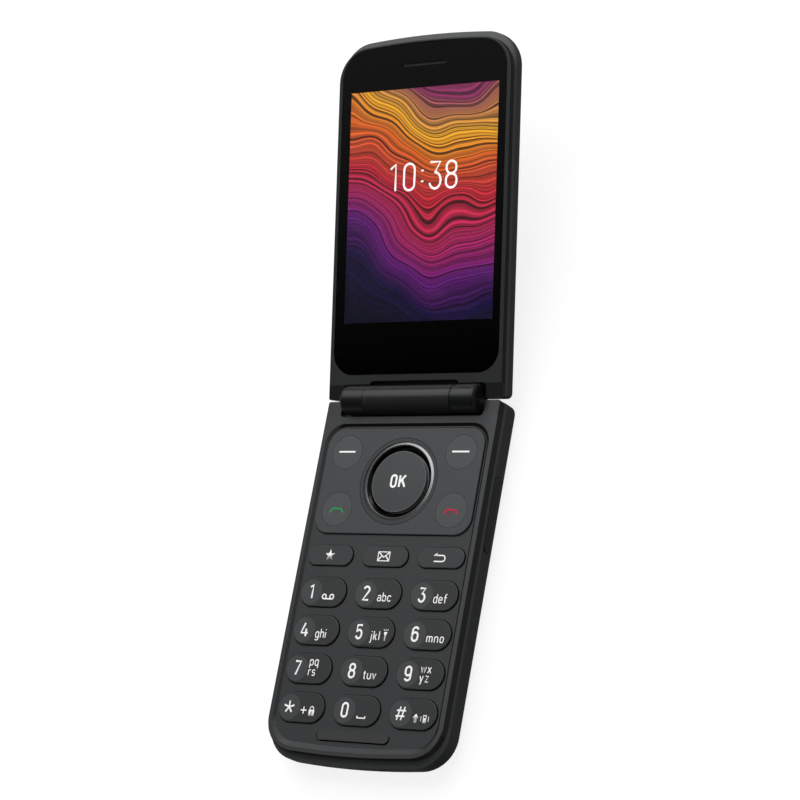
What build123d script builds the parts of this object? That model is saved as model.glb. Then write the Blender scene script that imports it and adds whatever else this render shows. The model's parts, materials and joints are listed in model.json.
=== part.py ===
"""A folding mobile phone, open at its hinge: one node for each piece. Sizes are in millimetres.

Both halves are drawn about the hinge axis: X runs along it, the base half lies at negative Y, the lid
half is drawn straight out at positive Y with its face up, and Z points out of the keys. At export
everything moves to the frame of the finished phone, whose origin is the middle of the flat back, and
the lid is tilted to its rest angle.
"""

import os

from build123d import *

# The two halves
WIDTH = 57.6
HALF_LENGTH = 101.8
BASE_THICKNESS = 10.2
LID_THICKNESS = 6.7
CLOSED_GAP = 0.4
FIT_GAP = 0.05
REST_TILT = 15.0
END_GAP = 0.4
CROWN_RADIUS = 240.0
CORNER_RADIUS = 10.0
NEAR_CORNER_RADIUS = 1.2
WALL = 1.3
FRONT_SIDE_STEP = 0.25
FRONT_END_STEP = 1.8
SHOULDER_HEIGHT = 0.9

# Base housings
BASE_FRONT_HEIGHT = 2.0
BASE_FRONT_ROUND = 0.3
BASE_SIDE_LEAN = 0.4
BASE_BACK_ROUND = 4.0
RECESS_DEPTH = 0.6
RECESS_SIDE_RIM = 2.0
RECESS_FAR_RIM = 3.15
RECESS_SIDE_SLOPE = 0.75
RECESS_FAR_SLOPE = 1.5
RECESS_NEAR = 6.7
RECESS_NEAR_CORNER = 6.0
DECK_THICKNESS = 0.85
FLOOR_THICKNESS = 0.8
LIP_WIDTH = 22.9
LIP_LENGTH = 2.6
LIP_RISE = 0.4
LIP_GROOVE = 0.35
LIP_FROM_END = 7.6
END_HOLE_X = 8.7
END_HOLE_WIDTH = 2.4
END_HOLE_HEIGHT = 1.4
END_HOLE_DROP = 4.5

# Hinge
BARREL_RADIUS = 4.15
BARREL_SIDE_MARGIN = 6.7
BARREL_END_ROUND = 1.2
CAP_LENGTH = 1.5
END_KNUCKLE_LENGTH = 7.8
SEAM_LEFT = 0.12
SEAM_RIGHT = 0.3
NOTCH_GAP = 1.3
NOTCH_END_ROUND = 1.2
BASE_NOTCH_RADIUS = 4.72
LID_NOTCH_RADIUS = 4.5
LID_MIDDLE_NOTCH_RADIUS = 5.4
KNUCKLE_BORE_RADIUS = 3.2
KNUCKLE_WEB_REACH = 8.0
KNUCKLE_WALL = 2.0
PIN_RADIUS = 1.5
RUNNING_CLEARANCE = 0.06
CAN_RADIUS = 3.15
CAN_BORE_RADIUS = 2.5
CAN_WALL = 0.8
CAM_RADIUS = 2.4
CAM_LENGTH = 3.5
FOLLOWER_LENGTH = 2.5
CAM_GAP = 0.1
SPRING_WIRE_RADIUS = 0.3
SPRING_RADIUS = 1.7
SPRING_PITCH = 0.9
FLEX_THICKNESS = 0.2
FLEX_BASE_WIDTH = 6.0
FLEX_LID_WIDTH = 3.8
FLEX_LANDING = 2.6
FLEX_ROLL_RADIUS = 3.1

# Keys
KEY_SIDE_MARGIN = 3.33
KEY_COLUMN_GAP = 2.97
FUNCTION_ROW_GAP = 3.35
FUNCTION_KEY_HEIGHT = 5.8
NUMBER_FIELD_GAP = 3.3
NUMBER_ROWS = 4
KEY_ROW_GAP = 2.32
KEYS_FAR_MARGIN = 10.44
KEY_DROP = 0.1
KEY_EDGE_ROUND = 0.3
KEY_CLEARANCE = 0.15
FLANGE_MARGIN = 0.5
FLANGE_THICKNESS = 0.45
FLANGE_GAP = 0.1
KEY_TRAVEL = 0.25
TRAVEL_CLEARANCE = 0.05
SOFT_KEY_RADIUS = 4.85
SOFT_KEY_CLEARANCE = 0.08
SOFT_KEY_SIDE_MARGIN = 6.92
SOFT_KEY_NEAR_REACH = 8.3
SOFT_KEY_FAR_REACH = 8.1

# Navigation cluster
PANEL_SIDE_MARGIN = 3.25
PANEL_NEAR_MARGIN = 2.9
PANEL_FAR_MARGIN = 2.7
PANEL_CORNER = 5.0
PANEL_DROP = 0.05
PANEL_POCKET = 0.35
PANEL_CLEARANCE = 0.2
PANEL_EDGE_ROUND = 0.25
NAV_Y = 23.3
NAV_OUTER_RADIUS = 12.35
NAV_TRIM_OUTER = 11.3
NAV_TRIM_INNER = 10.25
NAV_TRIM_CREST = 10.5
NAV_TRIM_INNER_FALL = 0.25
NAV_TRIM_OUTER_FALL = 0.3
NAV_INNER_RADIUS = 8.85
NAV_CLEARANCE = 0.12
NAV_FLANGE_MARGIN = 0.6
NAV_FLANGE_THICKNESS = 0.3
NAV_TILT_ROOM = 0.3
NAV_UNDERCUT = 0.15
NAV_TRIM_SEAT = 0.5
NAV_MOAT_DEPTH = 1.7
OK_RADIUS = 8.65
OK_STEM_RADIUS = 4.6
OK_EDGE_DROP = 0.22
ACTUATOR_OUTER = 9.3
ACTUATOR_INNER = 5.2
ACTUATOR_THICKNESS = 0.3
ACTUATOR_GAP = 0.2

# Volume rocker, on the right side
ROCKER_LENGTH = 20.9
ROCKER_HEIGHT = 2.4
ROCKER_Y = 31.1
ROCKER_DROP = 4.6
ROCKER_PROUD = 0.35
ROCKER_CLEARANCE = 0.12
ROCKER_FLANGE = 0.5
ROCKER_GAP = 0.25

# Inside the base
MEMBRANE_THICKNESS = 0.3
DOME_HEIGHT = 0.2
DOME_RADIUS = 2.0
DOME_SHEET_THICKNESS = 0.1
BOARD_THICKNESS = 0.8
BOARD_INSET = 2.5
BOARD_NEAR = 7.2
SHEET_INSET = 1.7
SHEET_NEAR = 7.6
BAY_ROOF_GAP = 0.4
BAY_ROOF_THICKNESS = 0.6
BAY_WALL = 0.7
BATTERY_SIDE_MARGIN = 6.8
BATTERY_FAR_MARGIN = 10.9
BATTERY_THICKNESS = 4.3
BATTERY_NEAR = 40.9
BATTERY_CLEARANCE = 0.15
BATTERY_ROUND = 0.8
COVER_THICKNESS = 1.05
COVER_MARGIN = 4.7
COVER_NEAR = 9.5
COVER_CORNER = 5.5
COVER_CLEARANCE = 0.12
BOSS_RADIUS = 1.9
SCREW_RADIUS = 0.7
SCREW_HEAD_RADIUS = 1.35
SCREW_HEAD_HEIGHT = 0.6
SCREW_SLOT_WIDTH = 0.35
SCREW_CLEARANCE = 0.05
BOSS_CLEARANCE = 0.25
NEAR_SCREW_MARGIN = 4.2
NEAR_SCREW = 8.6
CAVITY_NEAR = 6.2

PORT_WIDTH = 8.94
PORT_HEIGHT = 3.26
PORT_DEPTH = 7.35
PORT_SHELL = 0.3
PORT_Y = 26.0
PORT_SET_BACK = 0.5
TONGUE_WIDTH = 6.7
TONGUE_THICKNESS = 0.7
TONGUE_SET_BACK = 0.9
JACK_Y = 14.5
JACK_LENGTH = 12.0
JACK_WIDTH = 6.0
JACK_HEIGHT = 4.0
JACK_BORE_RADIUS = 1.8
JACK_BORE_LENGTH = 12.0
JACK_NOSE_RADIUS = 2.1
JACK_SET_BACK = 0.4
SPEAKER_WIDTH = 18.0
SPEAKER_LENGTH = 12.0
SPEAKER_THICKNESS = 3.4
SPEAKER_SIDE_MARGIN = 7.3
SPEAKER_Y = 14.6
SPEAKER_SLOTS = 7
SPEAKER_SLOT_WIDTH = 1.0
SPEAKER_SLOT_LENGTH = 8.0
SPEAKER_SLOT_PITCH = 2.0
MOTOR_RADIUS = 2.2
MOTOR_LENGTH = 8.5
MOTOR_GAP = 0.5
MOTOR_Y = 28.0
WEIGHT_RADIUS = 2.0
WEIGHT_LENGTH = 3.6
WEIGHT_GAP = 0.4
MOTOR_SHAFT_RADIUS = 0.5
MOTOR_SHAFT_GRIP = 3.0
SIM_WIDTH = 15.0
SIM_LENGTH = 12.6
SIM_THICKNESS = 1.4
SIM_Y = 29.5
CONTACT_WIDTH = 10.4
CONTACT_DEPTH = 2.3
CONTACT_HEIGHT = 3.0
CONTACT_TIP_WIDTH = 1.2
CONTACT_PITCH = 3.0
MIC_WIDTH = 3.8
MIC_LENGTH = 3.0
MIC_HEIGHT = 1.1
SHIELD_GAP = 1.95
SHIELD_Y = 14.0
SHIELD_LENGTH = 10.0
SHIELD_HEIGHT = 1.4

# Lid
LID_FRONT_HEIGHT = 1.45
LID_FRONT_ROUND = 0.3
LID_SIDE_LEAN = 0.2
LID_BACK_ROUND = 2.5
LID_WALL = 1.2
GLASS_SIDE_RIM = 1.75
GLASS_NEAR = 7.2
GLASS_FAR_RIM = 2.4
GLASS_THICKNESS = 0.75
GLASS_DROP = 0.05
GLASS_CLEARANCE = 0.08
GLASS_NEAR_CORNER = 6.5
SCREEN_NEAR = 21.7
BEZEL_SIDE = 2.665
BEZEL_FAR = 12.68
DISPLAY_BORDER = 1.2
DISPLAY_CHIN = 1.8
DISPLAY_THICKNESS = 2.05
DISPLAY_CLEARANCE = 0.2
EARPIECE_FROM_END = 8.55
EAR_SLOT_WIDTH = 14.7
EAR_SLOT_HEIGHT = 0.9
EARPIECE_WIDTH = 14.2
EARPIECE_LENGTH = 5.6
EARPIECE_THICKNESS = 2.3
MESH_THICKNESS = 0.3
MESH_CLEARANCE = 0.04
LID_BOARD_SIDE_MARGIN = 9.8
LID_BOARD_NEAR = 8.0
LID_BOARD_FAR_GAP = 3.5
LID_BOARD_THICKNESS = 0.6
POST_RADIUS = 1.2
WINDOW_SIDE_MARGIN = 8.8
WINDOW_FAR_MARGIN = 4.8
WINDOW_CORNER = 6.0
WINDOW_THICKNESS = 0.8
WINDOW_CLEARANCE = 0.08
OUTER_SCREEN_SIDE_GAP = 2.0
OUTER_SCREEN_NEAR_GAP = 1.5
OUTER_SCREEN_LENGTH = 27.0
OUTER_SCREEN_THICKNESS = 1.2
CAMERA_SIDE_GAP = 7.0
CAMERA_FAR_GAP = 5.5
CAMERA_NEAR_GAP = 2.0
CAMERA_SIZE = 7.0
CAMERA_DEPTH = 3.2
CAMERA_LENS_RADIUS = 2.6
LID_SCREW_MARGIN = 6.5
LID_SCREW_NEAR = 12.5
LID_SCREW_FROM_END = 8.8
PAD_RADIUS = 2.4
PAD_DEPTH = 0.65
LID_CAVITY_NEAR = 6.6

# Heights, from the hinge axis
FACE = -CLOSED_GAP / 2
BASE_BACK = FACE - BASE_THICKNESS
LID_BACK = FACE - LID_THICKNESS
BASE_SPLIT = FACE - BASE_FRONT_HEIGHT
LID_SPLIT = FACE - LID_FRONT_HEIGHT
DECK_TOP = FACE - RECESS_DEPTH
DECK_BOTTOM = DECK_TOP - DECK_THICKNESS
FLANGE_TOP = DECK_BOTTOM - FLANGE_GAP
FLANGE_BOTTOM = FLANGE_TOP - FLANGE_THICKNESS
MEMBRANE_TOP = FLANGE_BOTTOM - KEY_TRAVEL - TRAVEL_CLEARANCE
MEMBRANE_BOTTOM = MEMBRANE_TOP - MEMBRANE_THICKNESS
SHEET_TOP = MEMBRANE_BOTTOM - TRAVEL_CLEARANCE - DOME_HEIGHT
BOARD_TOP = SHEET_TOP - DOME_SHEET_THICKNESS
BOARD_BOTTOM = BOARD_TOP - BOARD_THICKNESS
COVER_SEAT = BASE_BACK + COVER_THICKNESS
FLOOR_TOP = COVER_SEAT + FLOOR_THICKNESS
BAY_ROOF_TOP = BOARD_BOTTOM - BAY_ROOF_GAP
BAY_ROOF_BOTTOM = BAY_ROOF_TOP - BAY_ROOF_THICKNESS
PANEL_TOP = FACE - PANEL_DROP
PANEL_SEAT = DECK_TOP - PANEL_POCKET
GLASS_TOP = FACE - GLASS_DROP
GLASS_SEAT = GLASS_TOP - GLASS_THICKNESS
DISPLAY_TOP = GLASS_SEAT - FIT_GAP
DISPLAY_BOTTOM = DISPLAY_TOP - DISPLAY_THICKNESS
LID_BOARD_TOP = DISPLAY_BOTTOM - FIT_GAP
LID_BOARD_BOTTOM = LID_BOARD_TOP - LID_BOARD_THICKNESS
LID_INNER = LID_BACK + LID_WALL
WINDOW_SEAT = LID_BACK + WINDOW_THICKNESS
PAD_BOTTOM = LID_SPLIT - PAD_DEPTH

# Other places that several pieces share
HALF_WIDTH = WIDTH / 2
END = END_GAP / 2
BASE_END = -HALF_LENGTH
FLAT_NEAR = END + BASE_BACK_ROUND
FLAT_FAR = HALF_LENGTH - BASE_BACK_ROUND
HINGE_Y = (FLAT_NEAR + FLAT_FAR) / 2
HINGE_Z = -BASE_BACK
BARREL_HALF_LENGTH = HALF_WIDTH - BARREL_SIDE_MARGIN
KNUCKLE_SEAM = BARREL_HALF_LENGTH - END_KNUCKLE_LENGTH
NOTCH_HALF_WIDTH = BARREL_HALF_LENGTH + NOTCH_GAP
KNUCKLE_LEFT = -KNUCKLE_SEAM + SEAM_LEFT / 2
KNUCKLE_RIGHT = KNUCKLE_SEAM - SEAM_RIGHT / 2
BARREL_CORE = BARREL_HALF_LENGTH - CAP_LENGTH
PANEL_WIDTH = WIDTH - 2 * PANEL_SIDE_MARGIN
PANEL_NEAR = NAV_Y - NAV_OUTER_RADIUS - PANEL_NEAR_MARGIN
PANEL_FAR = NAV_Y + NAV_OUTER_RADIUS + PANEL_FAR_MARGIN
SOFT_KEY_X = PANEL_WIDTH / 2 - SOFT_KEY_SIDE_MARGIN
SOFT_KEY_UPPER = NAV_Y - SOFT_KEY_NEAR_REACH
SOFT_KEY_LOWER = NAV_Y + SOFT_KEY_FAR_REACH
KEY_WIDTH = (WIDTH - 2 * KEY_SIDE_MARGIN - 2 * KEY_COLUMN_GAP) / 3
KEY_COLUMN_PITCH = KEY_WIDTH + KEY_COLUMN_GAP
KEY_COLUMNS = (-KEY_COLUMN_PITCH, 0.0, KEY_COLUMN_PITCH)
FUNCTION_ROW = PANEL_FAR + FUNCTION_ROW_GAP + FUNCTION_KEY_HEIGHT / 2
NUMBER_FIELD = FUNCTION_ROW + FUNCTION_KEY_HEIGHT / 2 + NUMBER_FIELD_GAP
NUMBER_ROW_PITCH = (HALF_LENGTH - KEYS_FAR_MARGIN - NUMBER_FIELD + KEY_ROW_GAP) / NUMBER_ROWS
NUMBER_KEY_HEIGHT = NUMBER_ROW_PITCH - KEY_ROW_GAP
FIRST_NUMBER_ROW = NUMBER_FIELD + NUMBER_KEY_HEIGHT / 2
NAV_FLANGE_RADIUS = NAV_OUTER_RADIUS + NAV_FLANGE_MARGIN
NAV_FLANGE_TOP = DECK_BOTTOM - NAV_TILT_ROOM
NAV_FLANGE_BOTTOM = NAV_FLANGE_TOP - NAV_FLANGE_THICKNESS
NAV_BODY_BOTTOM = NAV_FLANGE_BOTTOM + NAV_UNDERCUT
ACTUATOR_TOP = NAV_BODY_BOTTOM - ACTUATOR_GAP
ACTUATOR_BOTTOM = ACTUATOR_TOP - ACTUATOR_THICKNESS
PORT_Z = BOARD_BOTTOM - PORT_HEIGHT / 2
JACK_Z = BOARD_BOTTOM - JACK_HEIGHT / 2
JACK_END = -HALF_WIDTH + WALL + FIT_GAP + JACK_LENGTH
SPEAKER_X = HALF_WIDTH - SPEAKER_SIDE_MARGIN - SPEAKER_WIDTH / 2
MOTOR_X = SIM_WIDTH / 2 + MOTOR_GAP
MOTOR_Z = FLOOR_TOP + MOTOR_RADIUS
ROCKER_Z = FACE - ROCKER_DROP
BATTERY_TOP = BAY_ROOF_BOTTOM - TRAVEL_CLEARANCE
BATTERY_WIDTH = WIDTH - 2 * BATTERY_SIDE_MARGIN
BATTERY_LENGTH = HALF_LENGTH - BATTERY_FAR_MARGIN - BATTERY_NEAR
CAN_END = KNUCKLE_RIGHT - RUNNING_CLEARANCE
CAN_START = KNUCKLE_WALL / 2 + RUNNING_CLEARANCE
FLEX_LEVEL = -FLEX_ROLL_RADIUS
BOSS_SPACE = FLANGE_MARGIN + BOSS_CLEARANCE + BOSS_RADIUS
LAST_NUMBER_ROW = FIRST_NUMBER_ROW + (NUMBER_ROWS - 1) * NUMBER_ROW_PITCH
BASE_SCREWS = [
    (HALF_WIDTH - NEAR_SCREW_MARGIN, NEAR_SCREW),
    (KEY_COLUMN_PITCH / 2, FUNCTION_ROW - FUNCTION_KEY_HEIGHT / 2 - BOSS_SPACE),
    (KEY_COLUMN_PITCH, LAST_NUMBER_ROW + NUMBER_KEY_HEIGHT / 2 + BOSS_SPACE),
]
GLASS_WIDTH = WIDTH - 2 * GLASS_SIDE_RIM
SCREEN_WIDTH = GLASS_WIDTH - 2 * BEZEL_SIDE
SCREEN_LENGTH = HALF_LENGTH - GLASS_FAR_RIM - BEZEL_FAR - SCREEN_NEAR
EARPIECE_U = HALF_LENGTH - EARPIECE_FROM_END
LID_BOARD_WIDTH = WIDTH - 2 * LID_BOARD_SIDE_MARGIN
WINDOW_WIDTH = WIDTH - 2 * WINDOW_SIDE_MARGIN
CAMERA_REACH = CAMERA_NEAR_GAP + CAMERA_SIZE / 2 + CAMERA_FAR_GAP
WINDOW_LENGTH = OUTER_SCREEN_NEAR_GAP + OUTER_SCREEN_LENGTH + CAMERA_REACH
WINDOW_NEAR = HALF_LENGTH - WINDOW_FAR_MARGIN - WINDOW_LENGTH
LID_BOARD_FAR = WINDOW_NEAR - LID_BOARD_FAR_GAP
OUTER_SCREEN_WIDTH = WINDOW_WIDTH - 2 * OUTER_SCREEN_SIDE_GAP
OUTER_SCREEN_U = WINDOW_NEAR + OUTER_SCREEN_NEAR_GAP + OUTER_SCREEN_LENGTH / 2
CAMERA_X = CAMERA_SIDE_GAP - WINDOW_WIDTH / 2
CAMERA_U = WINDOW_NEAR + WINDOW_LENGTH - CAMERA_FAR_GAP
LID_SCREWS = [
    (HALF_WIDTH - LID_SCREW_MARGIN, LID_SCREW_NEAR),
    (HALF_WIDTH - LID_SCREW_MARGIN, HALF_LENGTH - LID_SCREW_FROM_END),
]


def slab(sketch, low, high):
    """The sketch raised between two heights."""
    return Pos(0, 0, low) * extrude(sketch, amount=high - low)


def block(x0, x1, y0, y1, z0, z1):
    """A box between its two corners."""
    centre = Pos((x0 + x1) / 2, (y0 + y1) / 2, (z0 + z1) / 2)
    return centre * Box(x1 - x0, y1 - y0, z1 - z0)


def drum(radius, x0, x1, y=0.0, z=0.0):
    """A cylinder that lies along X, by default on the hinge axis."""
    return Pos((x0 + x1) / 2, y, z) * Rot(0, 90, 0) * Cylinder(radius, x1 - x0)


def disc(radius, x, y, low, high):
    """An upright cylinder between two heights."""
    return Pos(x, y, (low + high) / 2) * Cylinder(radius, high - low)


def plan(inset=0.0, near=None, far_inset=None, near_corner=NEAR_CORNER_RADIUS):
    """The outline of one half as a face at positive Y, drawn in by an inset."""
    near = END + inset if near is None else near
    far = HALF_LENGTH - (inset if far_inset is None else far_inset)
    outline = Pos(0, (near + far) / 2) * Rectangle(WIDTH - 2 * inset, far - near)
    outline &= Pos(0, far - CROWN_RADIUS) * Circle(CROWN_RADIUS)
    rows = outline.vertices().group_by(Axis.Y)
    outline = fillet(rows[-1], CORNER_RADIUS - inset)
    rows = outline.vertices().group_by(Axis.Y)
    return fillet(rows[0], near_corner)


def front_part(low, lean, radius):
    """The front part of one half, whose sides lean in to a rounded edge that is sharp at the hinge."""
    foot = plan(FRONT_SIDE_STEP, END - 2 * radius, FRONT_END_STEP)
    top = plan(FRONT_SIDE_STEP + lean, END - 2 * radius, FRONT_END_STEP)
    body = loft([Pos(0, 0, low) * foot, Pos(0, 0, FACE) * top])
    body = fillet(body.edges().group_by(Axis.Z)[-1], radius)
    return body & slab(plan(FRONT_SIDE_STEP, END, FRONT_END_STEP), low, FACE)


def rear_part(back, split, radius):
    """The rear part of one half: a rounded back, and a shoulder that slopes in to the front part."""
    body = slab(plan(), back, split - SHOULDER_HEIGHT)
    body = fillet(body.edges().group_by(Axis.Z)[0], radius)
    inner = plan(FRONT_SIDE_STEP, END, FRONT_END_STEP)
    return body + loft([Pos(0, 0, split - SHOULDER_HEIGHT) * plan(), Pos(0, 0, split) * inner])


def base_side(sketch):
    """The same outline on the base half, at negative Y."""
    return Rot(0, 0, 180) * sketch


def mirrored(places):
    """Screw places on both sides, from the list of those on the right."""
    return [(side * x, u) for x, u in places for side in (-1, 1)]


def base_screw_places():
    """The base's screws at negative Y."""
    return [(x, -u) for x, u in mirrored(BASE_SCREWS)]


def notch(radius, half_width):
    """The space around the barrel that a housing leaves open, through its face."""
    round_part = drum(radius, -half_width, half_width)
    round_part = fillet(round_part.edges().filter_by(GeomType.CIRCLE), NOTCH_END_ROUND)
    open_part = block(-half_width, half_width, -radius, radius, 0, radius)
    return round_part + open_part


def pill(width, height, margin=0.0):
    """A key outline with half round ends, widened by a margin."""
    return SlotOverall(width + 2 * margin, height + 2 * margin)


def speaker_slots(low, high):
    """The row of sound slots under the loudspeaker."""
    slots = Part()
    for index in range(SPEAKER_SLOTS):
        offset = (index - (SPEAKER_SLOTS - 1) / 2) * SPEAKER_SLOT_PITCH
        slot = Rot(0, 0, 90) * SlotOverall(SPEAKER_SLOT_LENGTH, SPEAKER_SLOT_WIDTH)
        slots += Pos(SPEAKER_X + offset, -SPEAKER_Y, 0) * slab(slot, low, high)
    return slots


def end_holes(low, high):
    """The two small slots in the far end wall of the base."""
    slots = Part()
    for side in (-1, 1):
        outline = Plane.XZ * SlotOverall(END_HOLE_WIDTH, END_HOLE_HEIGHT)
        cut = extrude(outline, amount=high - low)
        slots += Pos(side * END_HOLE_X, -low, FACE - END_HOLE_DROP) * cut
    return slots


def key_places():
    """Every pill key of the lower field: name, column, row and height."""
    names = ("favourite_key", "message_key", "back_key")
    places = [(name, x, -FUNCTION_ROW, FUNCTION_KEY_HEIGHT) for name, x in zip(names, KEY_COLUMNS)]
    numbers = [("1", "2", "3"), ("4", "5", "6"), ("7", "8", "9"), ("star", "0", "hash")]
    for row, names in enumerate(numbers):
        y = -FIRST_NUMBER_ROW - row * NUMBER_ROW_PITCH
        for name, x in zip(names, KEY_COLUMNS):
            places.append(("key_" + name, x, y, NUMBER_KEY_HEIGHT))
    return places


def soft_key_places():
    """The four round keys of the navigation panel."""
    return [
        ("soft_key_left", -SOFT_KEY_X, -SOFT_KEY_UPPER),
        ("soft_key_right", SOFT_KEY_X, -SOFT_KEY_UPPER),
        ("call_key", -SOFT_KEY_X, -SOFT_KEY_LOWER),
        ("end_key", SOFT_KEY_X, -SOFT_KEY_LOWER),
    ]


def panel_outline(margin=0.0):
    """The navigation panel's rounded outline."""
    length = PANEL_FAR - PANEL_NEAR
    shape = RectangleRounded(PANEL_WIDTH + 2 * margin, length + 2 * margin, PANEL_CORNER + margin)
    return Pos(0, -(PANEL_FAR + PANEL_NEAR) / 2) * shape


def front_housing():
    """Rim, recessed deck with its key holes, screw bosses and the middle knuckle."""
    body = base_side(front_part(BASE_SPLIT, BASE_SIDE_LEAN, BASE_FRONT_ROUND))
    inside = base_side(plan(WALL, CAVITY_NEAR, FRONT_END_STEP + WALL))
    body -= slab(inside, BASE_SPLIT, DECK_BOTTOM)
    corner = RECESS_NEAR_CORNER
    low = plan(RECESS_SIDE_RIM + RECESS_SIDE_SLOPE, RECESS_NEAR + RECESS_SIDE_SLOPE,
               RECESS_FAR_RIM + RECESS_FAR_SLOPE, corner)
    high = plan(RECESS_SIDE_RIM, RECESS_NEAR, RECESS_FAR_RIM, corner)
    body -= loft([Pos(0, 0, DECK_TOP) * base_side(low), Pos(0, 0, FACE) * base_side(high)])
    body -= notch(BASE_NOTCH_RADIUS, NOTCH_HALF_WIDTH)
    body -= slab(panel_outline(PANEL_CLEARANCE), PANEL_SEAT, FACE)
    for _, x, y, height in key_places():
        hole = pill(KEY_WIDTH, height, KEY_CLEARANCE)
        body -= Pos(x, y, 0) * slab(hole, DECK_BOTTOM, FACE)
    for _, x, y in soft_key_places():
        body -= disc(SOFT_KEY_RADIUS + KEY_CLEARANCE, x, y, DECK_BOTTOM, FACE)
    body -= disc(NAV_OUTER_RADIUS + NAV_CLEARANCE, 0, -NAV_Y, DECK_BOTTOM, FACE)
    body = thumb_lip(body)
    for x, y in base_screw_places():
        body += disc(BOSS_RADIUS, x, y, BOARD_TOP, DECK_BOTTOM)
        body -= disc(SCREW_RADIUS, x, y, BOARD_TOP, DECK_TOP - DECK_THICKNESS / 2)
    return body + middle_knuckle()


def thumb_lip(body):
    """The body with the raised lip below the last row, which has a groove along its high far edge."""
    y = BASE_END + LIP_FROM_END
    low, high = y - LIP_LENGTH / 2, y + LIP_LENGTH / 2
    foot = DECK_TOP - DECK_THICKNESS / 2
    moat = Pos(0, y, 0) * slab(pill(LIP_WIDTH, LIP_LENGTH, LIP_GROOVE), DECK_TOP - LIP_GROOVE, DECK_TOP)
    body -= moat & block(-HALF_WIDTH, HALF_WIDTH, low - LIP_GROOVE, y + LIP_LENGTH / 4, foot, DECK_TOP)
    ramp = Polyline((high, DECK_TOP), (low, DECK_TOP + LIP_RISE), (low, foot), (high, foot), close=True)
    wedge = extrude(Plane.YZ * make_face(ramp), amount=LIP_WIDTH / 2, both=True)
    return body + (wedge & (Pos(0, y, 0) * slab(pill(LIP_WIDTH, LIP_LENGTH), foot, FACE)))


def middle_knuckle():
    """The base's part of the barrel, with its web, bores and the slot for the flex."""
    knuckle = drum(BARREL_RADIUS, KNUCKLE_LEFT, KNUCKLE_RIGHT)
    knuckle += block(KNUCKLE_LEFT, KNUCKLE_RIGHT, -CAVITY_NEAR, 0, -BARREL_RADIUS, BASE_SPLIT)
    wall = KNUCKLE_WALL / 2
    knuckle -= drum(KNUCKLE_BORE_RADIUS, KNUCKLE_LEFT, -wall)
    knuckle -= drum(KNUCKLE_BORE_RADIUS, wall, KNUCKLE_RIGHT)
    knuckle -= drum(PIN_RADIUS + RUNNING_CLEARANCE, -wall, wall)
    left = -FLEX_BASE_WIDTH - KNUCKLE_WALL - FIT_GAP
    high = FLEX_LEVEL + FLEX_THICKNESS + FIT_GAP
    knuckle -= block(left, FIT_GAP - KNUCKLE_WALL, -CAVITY_NEAR, 0, FLEX_LEVEL - FIT_GAP, high)
    return knuckle


def rear_housing():
    """The tub under the split line: walls, battery bay, screw bosses and side openings."""
    body = base_side(rear_part(BASE_BACK, BASE_SPLIT, BASE_BACK_ROUND))
    body -= slab(base_side(plan(WALL, CAVITY_NEAR, FRONT_END_STEP + WALL)), FLOOR_TOP, BASE_SPLIT)
    body += battery_space(BAY_WALL, COVER_SEAT, BAY_ROOF_TOP)
    half = CONTACT_WIDTH / 2 + BATTERY_CLEARANCE
    y = -BATTERY_NEAR
    body -= block(-half, half, y, y + CONTACT_DEPTH + BAY_WALL, FLOOR_TOP, BAY_ROOF_TOP)
    body -= notch(BASE_NOTCH_RADIUS, NOTCH_HALF_WIDTH)
    gap = COVER_CLEARANCE
    body -= block(KNUCKLE_LEFT - gap, KNUCKLE_RIGHT + gap, -CAVITY_NEAR, 0, -BARREL_RADIUS - gap, 0)
    body -= slab(cover_outline(COVER_CLEARANCE), BASE_BACK, COVER_SEAT)
    for x, y in base_screw_places():
        body += disc(BOSS_RADIUS, x, y, COVER_SEAT, BOARD_BOTTOM)
        body -= disc(SCREW_HEAD_RADIUS + SCREW_CLEARANCE, x, y, BASE_BACK, COVER_SEAT + SCREW_HEAD_HEIGHT)
        body -= disc(SCREW_RADIUS + SCREW_CLEARANCE, x, y, COVER_SEAT, BOARD_BOTTOM)
    body -= battery_space(0, BASE_BACK, BAY_ROOF_BOTTOM)
    body -= speaker_slots(COVER_SEAT, FLOOR_TOP)
    body -= end_holes(HALF_LENGTH - FRONT_END_STEP - 2 * WALL, HALF_LENGTH + WALL)
    body -= rocker_solid(ROCKER_CLEARANCE, HALF_WIDTH - 2 * WALL, HALF_WIDTH + WALL)
    body -= Pos(-HALF_WIDTH, -PORT_Y, PORT_Z) * port_shape(2 * FIT_GAP, -WALL, 2 * WALL)
    body -= drum(JACK_NOSE_RADIUS + FIT_GAP, -HALF_WIDTH, -HALF_WIDTH + 2 * WALL, -JACK_Y, JACK_Z)
    return body


def battery_space(margin, low, high):
    """The battery's place with its clearance and a further margin."""
    half = BATTERY_WIDTH / 2 + BATTERY_CLEARANCE + margin
    near = -BATTERY_NEAR + BATTERY_CLEARANCE + margin
    far = -BATTERY_NEAR - BATTERY_LENGTH - BATTERY_CLEARANCE - margin
    return block(-half, half, far, near, low, high)


def cover_outline(margin=0.0):
    """The battery cover's outline, inside the rounded edge of the back."""
    inset = COVER_MARGIN - margin
    return base_side(plan(inset, near=COVER_NEAR - margin, near_corner=COVER_CORNER))


def battery_cover():
    """The flat cover that makes the middle of the back, with sound slots and two hooks."""
    body = slab(cover_outline(), BASE_BACK, COVER_SEAT)
    body -= speaker_slots(BASE_BACK, COVER_SEAT)
    notch_y = -HALF_LENGTH + COVER_MARGIN
    body -= Pos(0, notch_y, BASE_BACK) * Rot(0, 90, 0) * Cylinder(COVER_THICKNESS / 2, PORT_WIDTH)
    return body


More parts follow.
